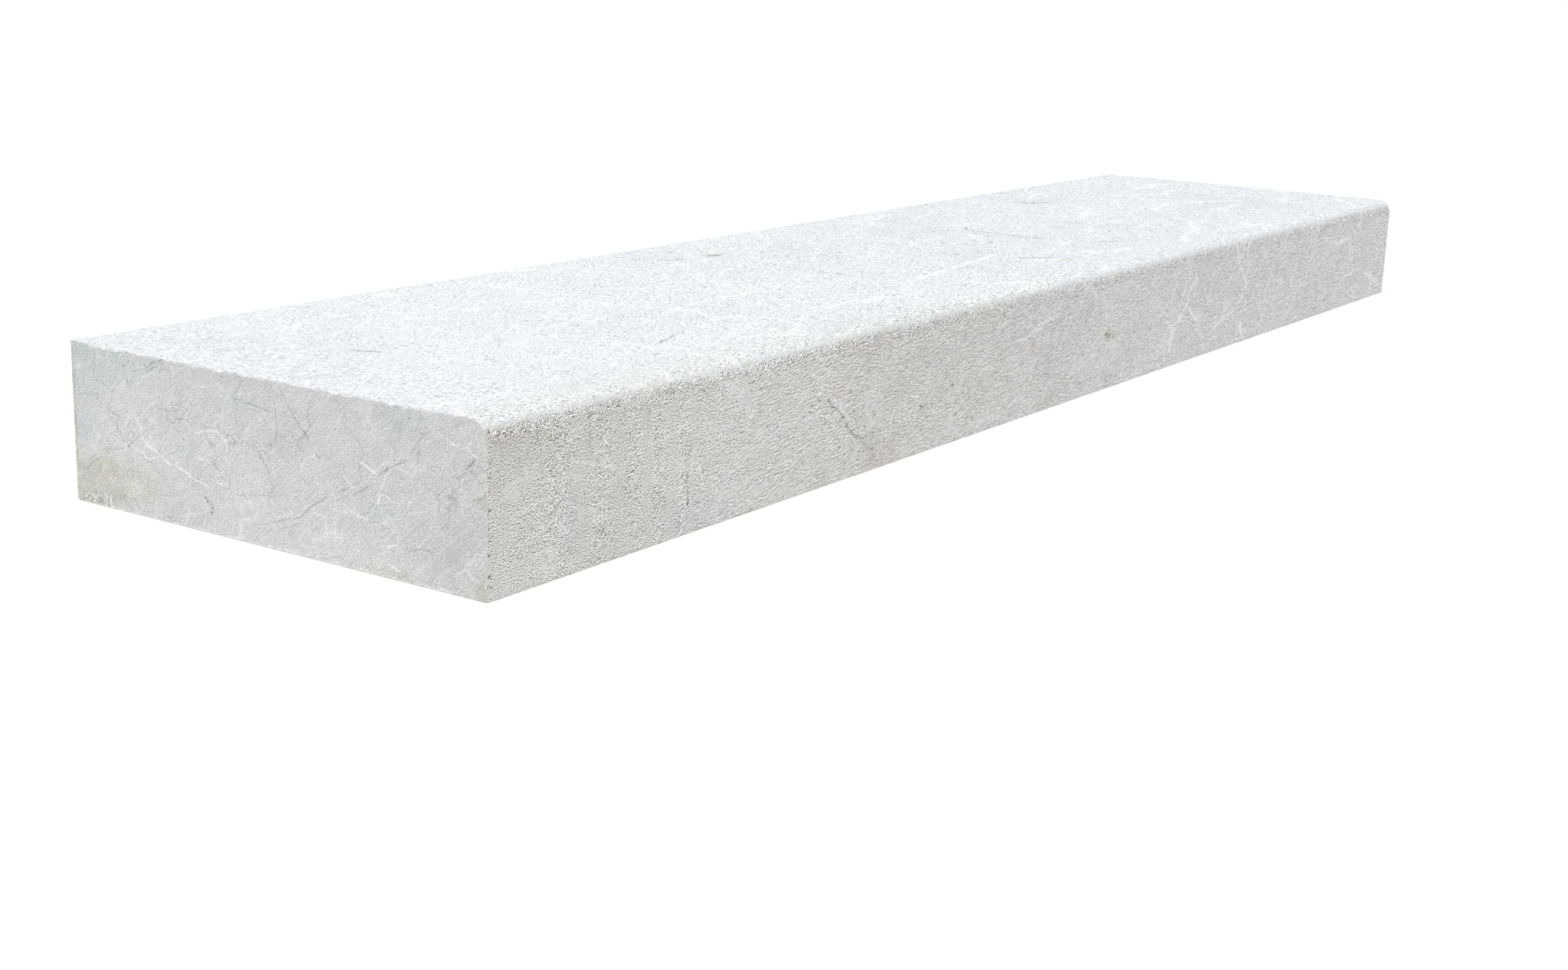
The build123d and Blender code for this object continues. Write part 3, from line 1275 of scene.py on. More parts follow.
class Graph:
    """A node tree that is being wired."""

    def __init__(self, tree: Tree) -> None:
        """Starts on a tree, which keeps the nodes that it has."""
        self.tree = tree

    def add(
        self, kind: str, feeds: dict[str | int, Feed] | None = None, **settings: object
    ) -> bpy.types.Node:
        """Adds a node.

        Args:
            kind: The node's type.
            feeds: What each named or numbered input gets: a socket or a constant.
            **settings: The node's own properties.

        Returns:
            The node.
        """
        node = self.tree.nodes.new(kind)
        for name, value in settings.items():
            setattr(node, name, value)
        for key, value in (feeds or {}).items():
            self.feed(node.inputs[key], value)
        return node

    def feed(self, socket: Socket, value: Feed) -> None:
        """Links a socket to an input, or sets the input to a constant."""
        if isinstance(value, Socket):
            self.tree.links.new(value, socket)
        else:
            socket.default_value = value

    def group(self, tree: Tree, feeds: dict[str, Feed]) -> bpy.types.Node:
        """Places a shader group and feeds its inputs."""
        return self.add("ShaderNodeGroup", feeds, node_tree=tree)

    def math(self, operation: str, one: Feed, two: Feed = 0.0, clamp: bool = False) -> Socket:
        """Adds a Math node and gives its result."""
        return self.add("ShaderNodeMath", {0: one, 1: two}, operation=operation, use_clamp=clamp).outputs[0]

    def total(self, *values: Feed) -> Socket:
        """Adds values up."""
        result = values[0]
        for value in values[1:]:
            result = self.math("ADD", result, value)
        return result

    def product(self, *values: Feed) -> Socket:
        """Multiplies values."""
        result = values[0]
        for value in values[1:]:
            result = self.math("MULTIPLY", result, value)
        return result

    def less(self, value: Feed, taken: Feed) -> Socket:
        """Takes one value from another."""
        return self.math("SUBTRACT", value, taken)

    def centred(self, value: Feed, gain: float) -> Socket:
        """Turns a value from 0 to 1 into one about 0, times a gain."""
        return self.product(self.less(value, 0.5), gain)

    def span(self, value: Feed, start: float, end: float, low: Feed = 0.0, high: Feed = 1.0) -> Socket:
        """Maps a value from one range to another, smoothly and with both ends held."""
        feeds = {"Value": value, "From Min": start, "From Max": end, "To Min": low, "To Max": high}
        return self.add("ShaderNodeMapRange", feeds, interpolation_type="SMOOTHSTEP").outputs["Result"]

    def between(self, share: Feed, low: Feed, high: Feed) -> Socket:
        """Goes smoothly from one value, at a share of 0, to another, at 1."""
        return self.span(share, 0.0, 1.0, low, high)

    def vector(self, operation: str, one: Feed, feeds: dict[str | int, Feed]) -> Socket:
        """Adds a Vector Math node and gives its result."""
        return self.add("ShaderNodeVectorMath", {0: one, **feeds}, operation=operation).outputs[0]

    def mix(self, factor: Feed, below: Feed, above: Feed, blend: str = "MIX") -> Socket:
        """Mixes two colours and gives the result."""
        node = self.add("ShaderNodeMix", data_type="RGBA", blend_type=blend)
        for index, value in ((0, factor), (6, below), (7, above)):
            self.feed(node.inputs[index], value)
        return node.outputs[2]

    def shaded(self, colour: Feed, tone: Feed) -> Socket:
        """Makes a colour lighter by a share that is above 0, and darker by one below it."""
        return self.vector("SCALE", colour, {"Scale": self.math("ADD", tone, 1.0)})

    def here(self) -> Socket:
        """Gives the place of the shaded point on the block, in metres."""
        return self.add("ShaderNodeTexCoord").outputs["Object"]

    def parts(self, vector: Feed) -> Sockets:
        """Splits a place into its X, Y and Z."""
        return self.add("ShaderNodeSeparateXYZ", {0: vector}).outputs

    def laid(self, vector: Feed, turn: Feed, stretch: Feed) -> Socket:
        """Turns a place and draws it out, so that a texture there is turned and drawn out."""
        feeds = {"Vector": vector, "Rotation": turn, "Scale": stretch}
        return self.add("ShaderNodeMapping", feeds, vector_type="TEXTURE").outputs[0]

    def trait(self, name: str) -> Socket:
        """Reads one of the mesh's own attributes."""
        return self.add("ShaderNodeAttribute", attribute_name=name).outputs["Fac"]

    def crests(self, vector: Feed, scale: Feed, detail: float, rough: float = 0.5) -> Sockets:
        """Gives noise with about as many crests in a metre as its scale: a number and a colour."""
        feeds = {"Vector": vector, "Scale": scale, "Detail": detail, "Roughness": rough}
        return self.add("ShaderNodeTexNoise", feeds).outputs

    def clouds(self, vector: Feed, size: float, detail: float = 3.0, rough: float = 0.5) -> Socket:
        """Gives noise with crests about one size apart, in metres, from 0 to 1."""
        return self.crests(vector, 1.0 / size, detail, rough)["Fac"]

    def cells(self, vector: Feed, scale: Feed, feature: str) -> Socket:
        """Gives the distance from the middle or the edge of irregular cells."""
        feeds = {"Vector": vector, "Scale": scale}
        return self.add("ShaderNodeTexVoronoi", feeds, feature=feature).outputs["Distance"]

    def roughen(self, shader: bpy.types.Node, height: Feed, relief: float) -> None:
        """Gives a shader bumps, which are as high as the relief, in metres, where the height is 1."""
        bump = self.add("ShaderNodeBump", {"Height": height, "Distance": relief, "Strength": 1.0})
        self.feed(shader.inputs["Normal"], bump.outputs["Normal"])


def new_group(
    name: str, inputs: dict[str, tuple[str, object]], outputs: dict[str, str]
) -> tuple[Graph, Sockets, Sockets]:
    """Starts a shader node group.

    Args:
        name: The group's name.
        inputs: For each input, its socket type and its value when nothing feeds it.
        outputs: For each output, its socket type.

    Returns:
        A graph to wire the group with, what it is given and what it has to give.
    """
    tree = bpy.data.node_groups.new(name, "ShaderNodeTree")
    for label, (kind, value) in inputs.items():
        tree.interface.new_socket(label, in_out="INPUT", socket_type=kind).default_value = value
    for label, kind in outputs.items():
        tree.interface.new_socket(label, in_out="OUTPUT", socket_type=kind)
    graph = Graph(tree)
    return graph, graph.add("NodeGroupInput").outputs, graph.add("NodeGroupOutput").inputs


@dataclass
class StoneEffects:
    """The shader groups that the finishes share. Each is built once.

    Attributes:
        sunk: The levels of the grain's noise where the painted shade of a hollow begins and is full.
        proud: The same for the painted light of a crest.
        lit: How much painted light pales the side of a crest that faces the light, and shade darkens the
            other.
        lump_scale: How many lumps there are to a crest.
        lump_tone: How much the lumps' height shows in the painted light and shade.
        broad_clouds: How far apart the broad clouds are, in metres.
        near_clouds: The same for the smaller ones.
        bends: How many bends the web has in a metre.
        stray: How far a seam's edge strays, in half widths.
        crumb_scale: How many crumbs there are in a metre.
        crumb_gap: The colour between crumbs, from 0 to 255.
        crumb: The colour of a crumb.
        bruise: The colour of a broken arris.
        vein_share: How much a vein covers.
        dirt_share: How much the dirt in a crack or hollow covers.
        bruise_share: How much a bruise covers.
        grain: The group of the grain.
        clouding: The group of the clouds.
        web: The group of the hairlines.
        patina: The group of what the marks do.
    """

    sunk: Pair = (0.46, 0.26)
    proud: Pair = (0.54, 0.76)
    lit: float = 2.2
    lump_scale: float = 0.34
    lump_tone: float = 0.9
    broad_clouds: float = 0.16
    near_clouds: float = 0.035
    bends: float = 45.0
    stray: float = 4.5
    crumb_scale: float = 280.0
    crumb_gap: Shade = (150, 148, 138)
    crumb: Shade = (250, 248, 240)
    bruise: Shade = (250, 246, 236)
    vein_share: float = 0.85
    dirt_share: float = 0.6
    bruise_share: float = 0.7
    grain: Tree = field(init=False)
    clouding: Tree = field(init=False)
    web: Tree = field(init=False)
    patina: Tree = field(init=False)

    def __post_init__(self) -> None:
        """Builds the groups."""
        self.grain = self._grain()
        self.clouding = self._clouding()
        self.web = self._web()
        self.patina = self._patina()

    def _grain(self) -> Tree:
        """Builds the grain: crests of one size, which can be drawn out in one direction, and coarser lumps.

        Height is for the bump. Tone is painted light and shade on the grain's relief: the crests, and the
        side of each that faces the light, are painted pale, and the hollows get painted shade.
        """
        graph, given, result = new_group(
            "stone grain",
            {"Size": (NUMBER, 0.003), "Turn": STRAIGHT, "Stretch": EVEN,
             "Upward": (VECTOR, (0.0, 0.0, 0.001)), "Lumps": (NUMBER, 0.3), "Sunk": (NUMBER, 0.6),
             "Proud": (NUMBER, 0.6)},
            {"Height": NUMBER, "Tone": NUMBER},
        )
        here = graph.here()
        scale = graph.math("DIVIDE", 1.0, given["Size"])
        own, next_up = (
            graph.crests(graph.laid(spot, given["Turn"], given["Stretch"]), scale, 1.5)["Fac"]
            for spot in (here, graph.vector("ADD", here, {1: given["Upward"]}))
        )
        coarse = graph.crests(here, graph.product(scale, self.lump_scale), 1.0)["Fac"]
        lumps = graph.product(graph.less(coarse, 0.5), given["Lumps"])
        graph.feed(result["Height"], graph.total(own, lumps))
        # Painted shade in the hollows, painted light on the crests, and painted light and shade on the two
        # sides of each crest
        sunk = graph.span(own, *self.sunk, 0.0, given["Sunk"])
        proud = graph.span(own, *self.proud, 0.0, given["Proud"])
        lit = graph.product(graph.less(own, next_up), self.lit)
        tone = graph.total(lit, proud, graph.product(lumps, self.lump_tone), graph.product(sunk, -1.0))
        graph.feed(result["Tone"], tone)
        return graph.tree

    def _clouding(self) -> Tree:
        """Builds the clouds: a body colour that drifts towards a pale and a deep one."""
        graph, given, result = new_group(
            "stone clouds",
            {"Body": (COLOUR, srgb(220, 220, 220)), "Pale": (COLOUR, srgb(230, 230, 230)),
             "Deep": (COLOUR, srgb(205, 205, 205))},
            {"Colour": COLOUR},
        )
        here = graph.here()
        broad = graph.clouds(here, self.broad_clouds, 4.0, 0.55)
        near = graph.clouds(here, self.near_clouds, 4.0, 0.6)
        deep = graph.product(graph.span(broad, 0.56, 0.36), graph.span(near, 0.3, 0.62))
        pale = graph.product(graph.span(near, 0.52, 0.72), graph.span(broad, 0.4, 0.62))
        colour = graph.mix(pale, graph.mix(deep, given["Body"], given["Deep"]), given["Pale"])
        graph.feed(result["Colour"], colour)
        return graph.tree

    def _web(self) -> Tree:
        """Builds a web of hairlines: the edges of drawn-out and warped cells, which show in patches."""
        graph, given, result = new_group(
            "stone web",
            {"Size": (NUMBER, 0.04), "Width": (NUMBER, 0.001), "Turn": STRAIGHT, "Stretch": EVEN,
             "Patches": (NUMBER, 0.05), "Bare": (NUMBER, 0.46)},
            {"Web": NUMBER},
        )
        here = graph.here()
        bend = graph.vector("SUBTRACT", graph.crests(here, self.bends, 4.0)["Color"], {1: (0.5, 0.5, 0.5)})
        bend = graph.vector("SCALE", bend, {"Scale": graph.product(given["Size"], 0.7)})
        laid = graph.laid(graph.vector("ADD", here, {1: bend}), given["Turn"], given["Stretch"])
        gap = graph.cells(laid, graph.math("DIVIDE", 1.0, given["Size"]), "DISTANCE_TO_EDGE")
        gap = graph.math("DIVIDE", graph.product(gap, given["Size"]), given["Width"])
        patches = graph.crests(laid, graph.math("DIVIDE", 1.0, given["Patches"]), 4.0)["Fac"]
        covered = graph.span(graph.less(patches, given["Bare"]), 0.0, 0.12)
        graph.feed(result["Web"], graph.product(graph.span(gap, 0.5, 0.15), covered))
        return graph.tree

    def _patina(self) -> Tree:
        """Builds what the marks do to a colour: seams, stains, hollows and broken arrises."""
        graph, given, result = new_group(
            "stone patina",
            {"Colour": (COLOUR, srgb(220, 220, 220)), "Vein": (COLOUR, srgb(245, 246, 246)),
             "Dirt": (COLOUR, srgb(120, 116, 108)), "Veins": (NUMBER, 1.0), "Cracks": (NUMBER, 1.0)},
            {"Colour": COLOUR, "Dark": NUMBER},
        )
        here = graph.here()
        seams = self._drawn_seams(graph, here)
        pale = graph.math("MULTIPLY", graph.math("MAXIMUM", seams, 0.0), given["Veins"], clamp=True)
        dark = graph.math("MAXIMUM", graph.product(seams, -1.0), 0.0)
        dark = graph.math("MULTIPLY", dark, given["Cracks"], clamp=True)
        colour = self._crumbled(graph, here, self._stained(graph, here, given["Colour"]))
        rim = graph.product(graph.trait("arris"), graph.span(graph.clouds(here, 0.004, 2.0), 0.36, 0.56))
        for share, part, own in (
            (pale, self.vein_share, given["Vein"]),
            (dark, self.dirt_share, given["Dirt"]),
            (graph.trait("hollow"), self.dirt_share, given["Dirt"]),
            (rim, self.bruise_share, srgb(*self.bruise)),
        ):
            colour = graph.mix(graph.product(share, part), colour, own)
        graph.feed(result["Colour"], colour)
        graph.feed(result["Dark"], dark)
        return graph.tree

    def _drawn_seams(self, graph: Graph, here: Feed) -> Socket:
        """Draws the seams with ragged and broken edges.

        Args:
            graph: The group's graph.
            here: The place on the block.

        Returns:
            A share that is above 0 on pale seams and below it on dark ones.
        """
        stray = graph.centred(graph.clouds(here, 0.007, 4.0, 0.7), self.stray)
        girth = graph.span(graph.clouds(here, 0.005, 1.0), 0.35, 0.65, 0.6, 1.5)
        gaps = graph.span(graph.clouds(here, 0.011, 3.0), 0.36, 0.52, 0.3, 1.0)
        small_gaps = graph.span(graph.clouds(here, 0.003, 1.0), 0.36, 0.50, 0.5, 1.0)
        seams: Feed = 0.0
        for layer in range(Marks.layers):
            aside = graph.math("ABSOLUTE", graph.total(graph.trait(f"seam{layer}_aside"), stray))
            line = graph.span(graph.math("DIVIDE", aside, girth), 1.7, 0.5)
            seams = graph.total(graph.product(line, graph.trait(f"seam{layer}_share")), seams)
        return graph.product(seams, graph.product(gaps, small_gaps))

    @staticmethod
    def _stained(graph: Graph, here: Feed, colour: Feed) -> Feed:
        """Filters a colour through the stains, which are mottled."""
        mottle = graph.clouds(here, 0.012, 4.0, 0.65)
        for tint, shade in FILTERS.items():
            share = graph.product(graph.trait(tint.value), graph.span(mottle, 0.3, 0.6, 0.5, 1.0))
            colour = graph.mix(share, colour, srgb(*shade), "MULTIPLY")
        return colour

    def _crumbled(self, graph: Graph, here: Feed, colour: Feed) -> Socket:
        """Breaks a colour up into pale crumbs with dark gaps, where the stone crumbles."""
        crumble = graph.trait(Tint.CRUMBLE.value)
        away = graph.cells(here, self.crumb_scale, "F1")
        gap = graph.product(graph.span(away, 0.5, 0.75, 0.0, 0.6), crumble)
        colour = graph.mix(gap, colour, srgb(*self.crumb_gap))
        return graph.mix(graph.product(graph.span(away, 0.35, 0.1), crumble), colour, srgb(*self.crumb))


def started_material(name: str) -> tuple[bpy.types.Material, Graph, bpy.types.Node]:
    """Makes a material with one Principled shader.

    Args:
        name: The material's name.

    Returns:
        The material, a graph to wire it with, and the shader's node.
    """
    material = bpy.data.materials.new(name)
    material.use_nodes = True
    graph = Graph(material.node_tree)
    graph.tree.nodes.clear()
    shader = graph.add("ShaderNodeBsdfPrincipled")
    graph.add("ShaderNodeOutputMaterial", {"Surface": shader.outputs[0]})
    return material, graph, shader


@dataclass(frozen=True)
class Ramp:
    """A value that changes along the block and is held on both sides of the change.

    Attributes:
        start: Where the change starts, from the middle of the block to the right, in metres.
        end: Where it ends.
        low: The value before it.
        high: The value after it.
    """

    start: float
    end: float
    low: float = 0.0
    high: float = 1.0

    def at(self, graph: Graph, along: Feed) -> Socket:
        """Gives the value at a place along the block."""
        return graph.span(along, self.start, self.end, self.low, self.high)


@dataclass(frozen=True)
class Clouding:
    """The colours that a face drifts between, from 0 to 255.

    Attributes:
        body: The usual one.
        pale: That of the light patches.
        deep: That of the dark patches.
    """

    body: Shade
    pale: Shade
    deep: Shade

    def placed(self, graph: Graph, effects: StoneEffects) -> Socket:
        """Puts the clouds in a material and gives their colour."""
        feeds = {"Body": srgb(*self.body), "Pale": srgb(*self.pale), "Deep": srgb(*self.deep)}
        return graph.group(effects.clouding, feeds).outputs["Colour"]


@dataclass(frozen=True)
class Grain:
    """The grain as one face has it.

    Attributes:
        upward: The way up the light, as a step across one crest, in metres.
        coarse: How many times coarser it is than the finish's own grain.
        turn: How it is turned about each axis, in radians.
        stretch: How far it is drawn out along each axis.
        lumps: How high the lumps are, as a share of the crests.
        sunk: How much painted shade darkens the hollows.
        proud: How much painted light pales the crests.
    """

    upward: Triple
    coarse: float = 1.0
    turn: Triple = (0.0, 0.0, 0.0)
    stretch: Triple = (1.0, 1.0, 1.0)
    lumps: float = 0.15
    sunk: float = 0.6
    proud: float = 0.6

    def placed(self, graph: Graph, effects: StoneEffects, size: Feed) -> Sockets:
        """Puts the grain in a material and gives its height and its tone."""
        return graph.group(effects.grain, {
            "Size": graph.product(size, self.coarse), "Turn": self.turn, "Stretch": self.stretch,
            "Upward": self.upward, "Lumps": self.lumps, "Sunk": self.sunk, "Proud": self.proud,
        }).outputs


@dataclass(frozen=True)
class Web:
    """A web of hairlines as one face has it.

    Attributes:
        size: How wide its cells are, in metres.
        width: How wide its lines are, in metres.
        stretch: How far it is drawn out along each axis.
        turn: How it is turned about each axis, in radians.
        patches: How far apart the patches are that have it, in metres.
        bare: The level of noise below which there is none.
    """

    size: float
    width: float
    stretch: Triple
    turn: Triple
    patches: float
    bare: float = 0.46

    def placed(self, graph: Graph, effects: StoneEffects) -> Socket:
        """Puts the web in a material and gives its share, from 0 to 1."""
        return graph.group(effects.web, {
            "Size": self.size, "Width": self.width, "Stretch": self.stretch, "Turn": self.turn,
            "Patches": self.patches, "Bare": self.bare,
        }).outputs["Web"]


@dataclass(frozen=True)
class BlastedFinish:
    """Stone that was grit-blasted: the softer parts are eaten out, and the grain stands proud.

    Attributes:
        name: The material's name.
        tread_clouds: The colours of the tread.
        riser_clouds: The colours of the riser. Their warmer hue is painted light, bounced up from the ground.
        size: How far apart the crests are, in metres.
        tread_grain: The grain of the tread.
        combed_grain: The riser's grain, which is drawn out and climbs towards the right.
        round_grain: Its grain by the left end.
        combed: Where the one takes over from the other.
        evened: How much the contrast is raised halfway between them, where they even each other out.
        relief: How high the crests are, in metres.
        tread_contrast: How strong the grain's painted light and shade are on the tread: the product of the
            ramps.
        riser_contrast: The same for the riser.
        nosing_calm: How much weaker the grain's painted light and shade are where the nosing turns down.
        nosing_shade_band: How much painted shade darkens the band just under the nosing, where its shade line
            falls.
        fading: How much darker it gets towards the right end.
        tread_web: The hairlines of the tread.
        riser_web: The hairlines of the riser.
        tread_webbed: How much the tread's hairlines show.
        riser_webbed: How much the riser's show.
        tread_vein: The colour of the hairlines and of the tread's veins, from 0 to 255.
        riser_vein: The colour of the riser's veins.
        dirt: The colour of the dirt in cracks and pits.
        veins: How strong the veins are.
        cracks: How strong the dark seams are.
        crack_depth: How deep those are, as a share of the relief.
        roughness: That of the hollows and that of the crests.
        gloss: The specular level.
    """

    name: str = "grit_blasted_limestone"
    # The riser's warmer hue is painted light bounced up from the ground onto the shaded riser; the clouds are
    # the stone's own
    tread_clouds: Clouding = Clouding((228.5, 232, 234.5), (236, 239, 241.5), (223, 227, 230))
    riser_clouds: Clouding = Clouding((228, 227.3, 226.5), (236, 235.5, 235.5), (220, 219.3, 218.5))
    size: Ramp = Ramp(-1.1, 1.1, 1.15 * MM, 1.9 * MM)
    # The first value of each grain is a step towards the light, for its painted light and shade
    tread_grain: Grain = Grain(
        (-0.3 * MM, -0.4 * MM, 0.2 * MM), 1.45, stretch=(2.2, 1.0, 1.0), lumps=0.2, proud=0.55
    )
    combed_grain: Grain = Grain(
        (-0.25 * MM, 0.0, 0.55 * MM), 0.78, turn=(0.0, -math.radians(21.0), 0.0), stretch=(3.3, 1.0, 1.0)
    )
    round_grain: Grain = Grain((-0.25 * MM, 0.0, 0.55 * MM), 1.2)
    combed: Ramp = Ramp(-0.95, -0.6)
    evened: float = 0.41
    relief: float = 0.8 * MM
    tread_contrast: tuple[Ramp, ...] = (Ramp(-1.0, -0.5, 0.76, 0.9272), Ramp(-0.3, 0.3, 1.0, 0.72))
    riser_contrast: tuple[Ramp, ...] = (Ramp(-0.95, -0.6, 1.2512, 1.4416), Ramp(-0.6, 0.25, 1.0, 0.6))
    nosing_calm: float = 0.5
    nosing_shade_band: float = 0.14
    fading: Ramp = Ramp(-0.9, 0.35, 0.0, 0.05)
    tread_web: Web = Web(0.06, 4.0 * MM, (3.0, 1.0, 1.0), (0.0, 0.0, 0.3), 0.06, 0.42)
    riser_web: Web = Web(0.045, 4.0 * MM, (2.2, 1.0, 1.0), (0.0, -0.6, 0.0), 0.07, 0.42)
    tread_webbed: Ramp = Ramp(-0.2, 0.7, 0.5, 0.75)
    riser_webbed: Ramp = Ramp(-0.2, 0.7, 0.35, 0.5)
    tread_vein: Shade = (246, 247, 248)
    riser_vein: Shade = (254, 254, 254)
    dirt: Shade = (128, 122, 112)
    veins: float = 1.7
    cracks: float = 1.2
    crack_depth: float = 0.5
    roughness: Pair = (0.95, 0.8)
    gloss: float = 0.25

    def material(self, effects: StoneEffects) -> bpy.types.Material:
        """Builds the material.

        Args:
            effects: The shared shader groups.

        Returns:
            The material.
        """
        material, graph, shader = started_material(self.name)
        riser = graph.trait("riser")
        along = graph.parts(graph.here())["X"]
        # The grain's height for the bump, and its painted light and shade for the colour
        height, painted_relief = self._grain(graph, effects, riser, along)
        # Painted shade: the band just under the nosing is darkened where the nosing turns down into shade
        shade_band = graph.product(graph.trait("shade_band"), -self.nosing_shade_band)
        fading = graph.product(self.fading.at(graph, along), -1.0)
        # The riser's clouds carry painted warm bounce light
        colour = graph.mix(
            riser, self.tread_clouds.placed(graph, effects), self.riser_clouds.placed(graph, effects)
        )
        colour = graph.shaded(colour, graph.total(painted_relief, shade_band, fading))
        web = graph.between(
            riser, self.tread_web.placed(graph, effects), self.riser_web.placed(graph, effects)
        )
        webbed = graph.between(riser, self.tread_webbed.at(graph, along), self.riser_webbed.at(graph, along))
        colour = graph.mix(graph.product(web, webbed), colour, srgb(*self.tread_vein))
        patina = graph.group(effects.patina, {
            "Colour": colour, "Vein": graph.mix(riser, srgb(*self.tread_vein), srgb(*self.riser_vein)),
            "Dirt": srgb(*self.dirt), "Veins": self.veins, "Cracks": self.cracks,
        })
        graph.feed(shader.inputs["Base Color"], patina.outputs["Colour"])
        graph.feed(shader.inputs["Roughness"], graph.span(height, *CREST_LEVELS, *self.roughness))
        shader.inputs["Specular IOR Level"].default_value = self.gloss
        height = graph.less(height, graph.product(patina.outputs["Dark"], self.crack_depth))
        graph.roughen(shader, height, self.relief)
        return material

    def _grain(self, graph: Graph, effects: StoneEffects, riser: Feed, along: Feed) -> tuple[Socket, Socket]:
        """Blends the grains of the tread and of the two parts of the riser.

        Args:
            graph: The material's graph.
            effects: The shared shader groups.
            riser: How far a place is on the riser, from 0 to 1.
            along: Its place along the block, in metres.

        Returns:
            The height, and the grain's painted light and shade, which lighten or darken the colour.
        """
        size, combed = self.size.at(graph, along), self.combed.at(graph, along)
        tread, drawn_out, even = (
            grain.placed(graph, effects, size)
            for grain in (self.tread_grain, self.combed_grain, self.round_grain)
        )
        own_height, own_tone = (
            graph.between(combed, even[name], drawn_out[name]) for name in ("Height", "Tone")
        )
        evened = graph.total(1.0, graph.product(self._halfway(graph, combed), self.evened))
        tread_tone = graph.product(tread["Tone"], *(ramp.at(graph, along) for ramp in self.tread_contrast))
        riser_tone = graph.product(own_tone, evened, *(ramp.at(graph, along) for ramp in self.riser_contrast))
        calm = graph.less(1.0, graph.product(self._halfway(graph, riser), self.nosing_calm))
        height = graph.between(riser, tread["Height"], own_height)
        return height, graph.product(graph.between(riser, tread_tone, riser_tone), calm)

    @staticmethod
    def _halfway(graph: Graph, share: Feed) -> Socket:
        """Turns a share into one that is 1 where it is a half, and 0 at both ends."""
        return graph.product(share, graph.less(1.0, share), 4.0)


class SawPath(Enum):
    """How the saw went across a face."""

    DISC = "in arcs, as a large disc leaves them"
    ALONG = "in straight lines along the block"


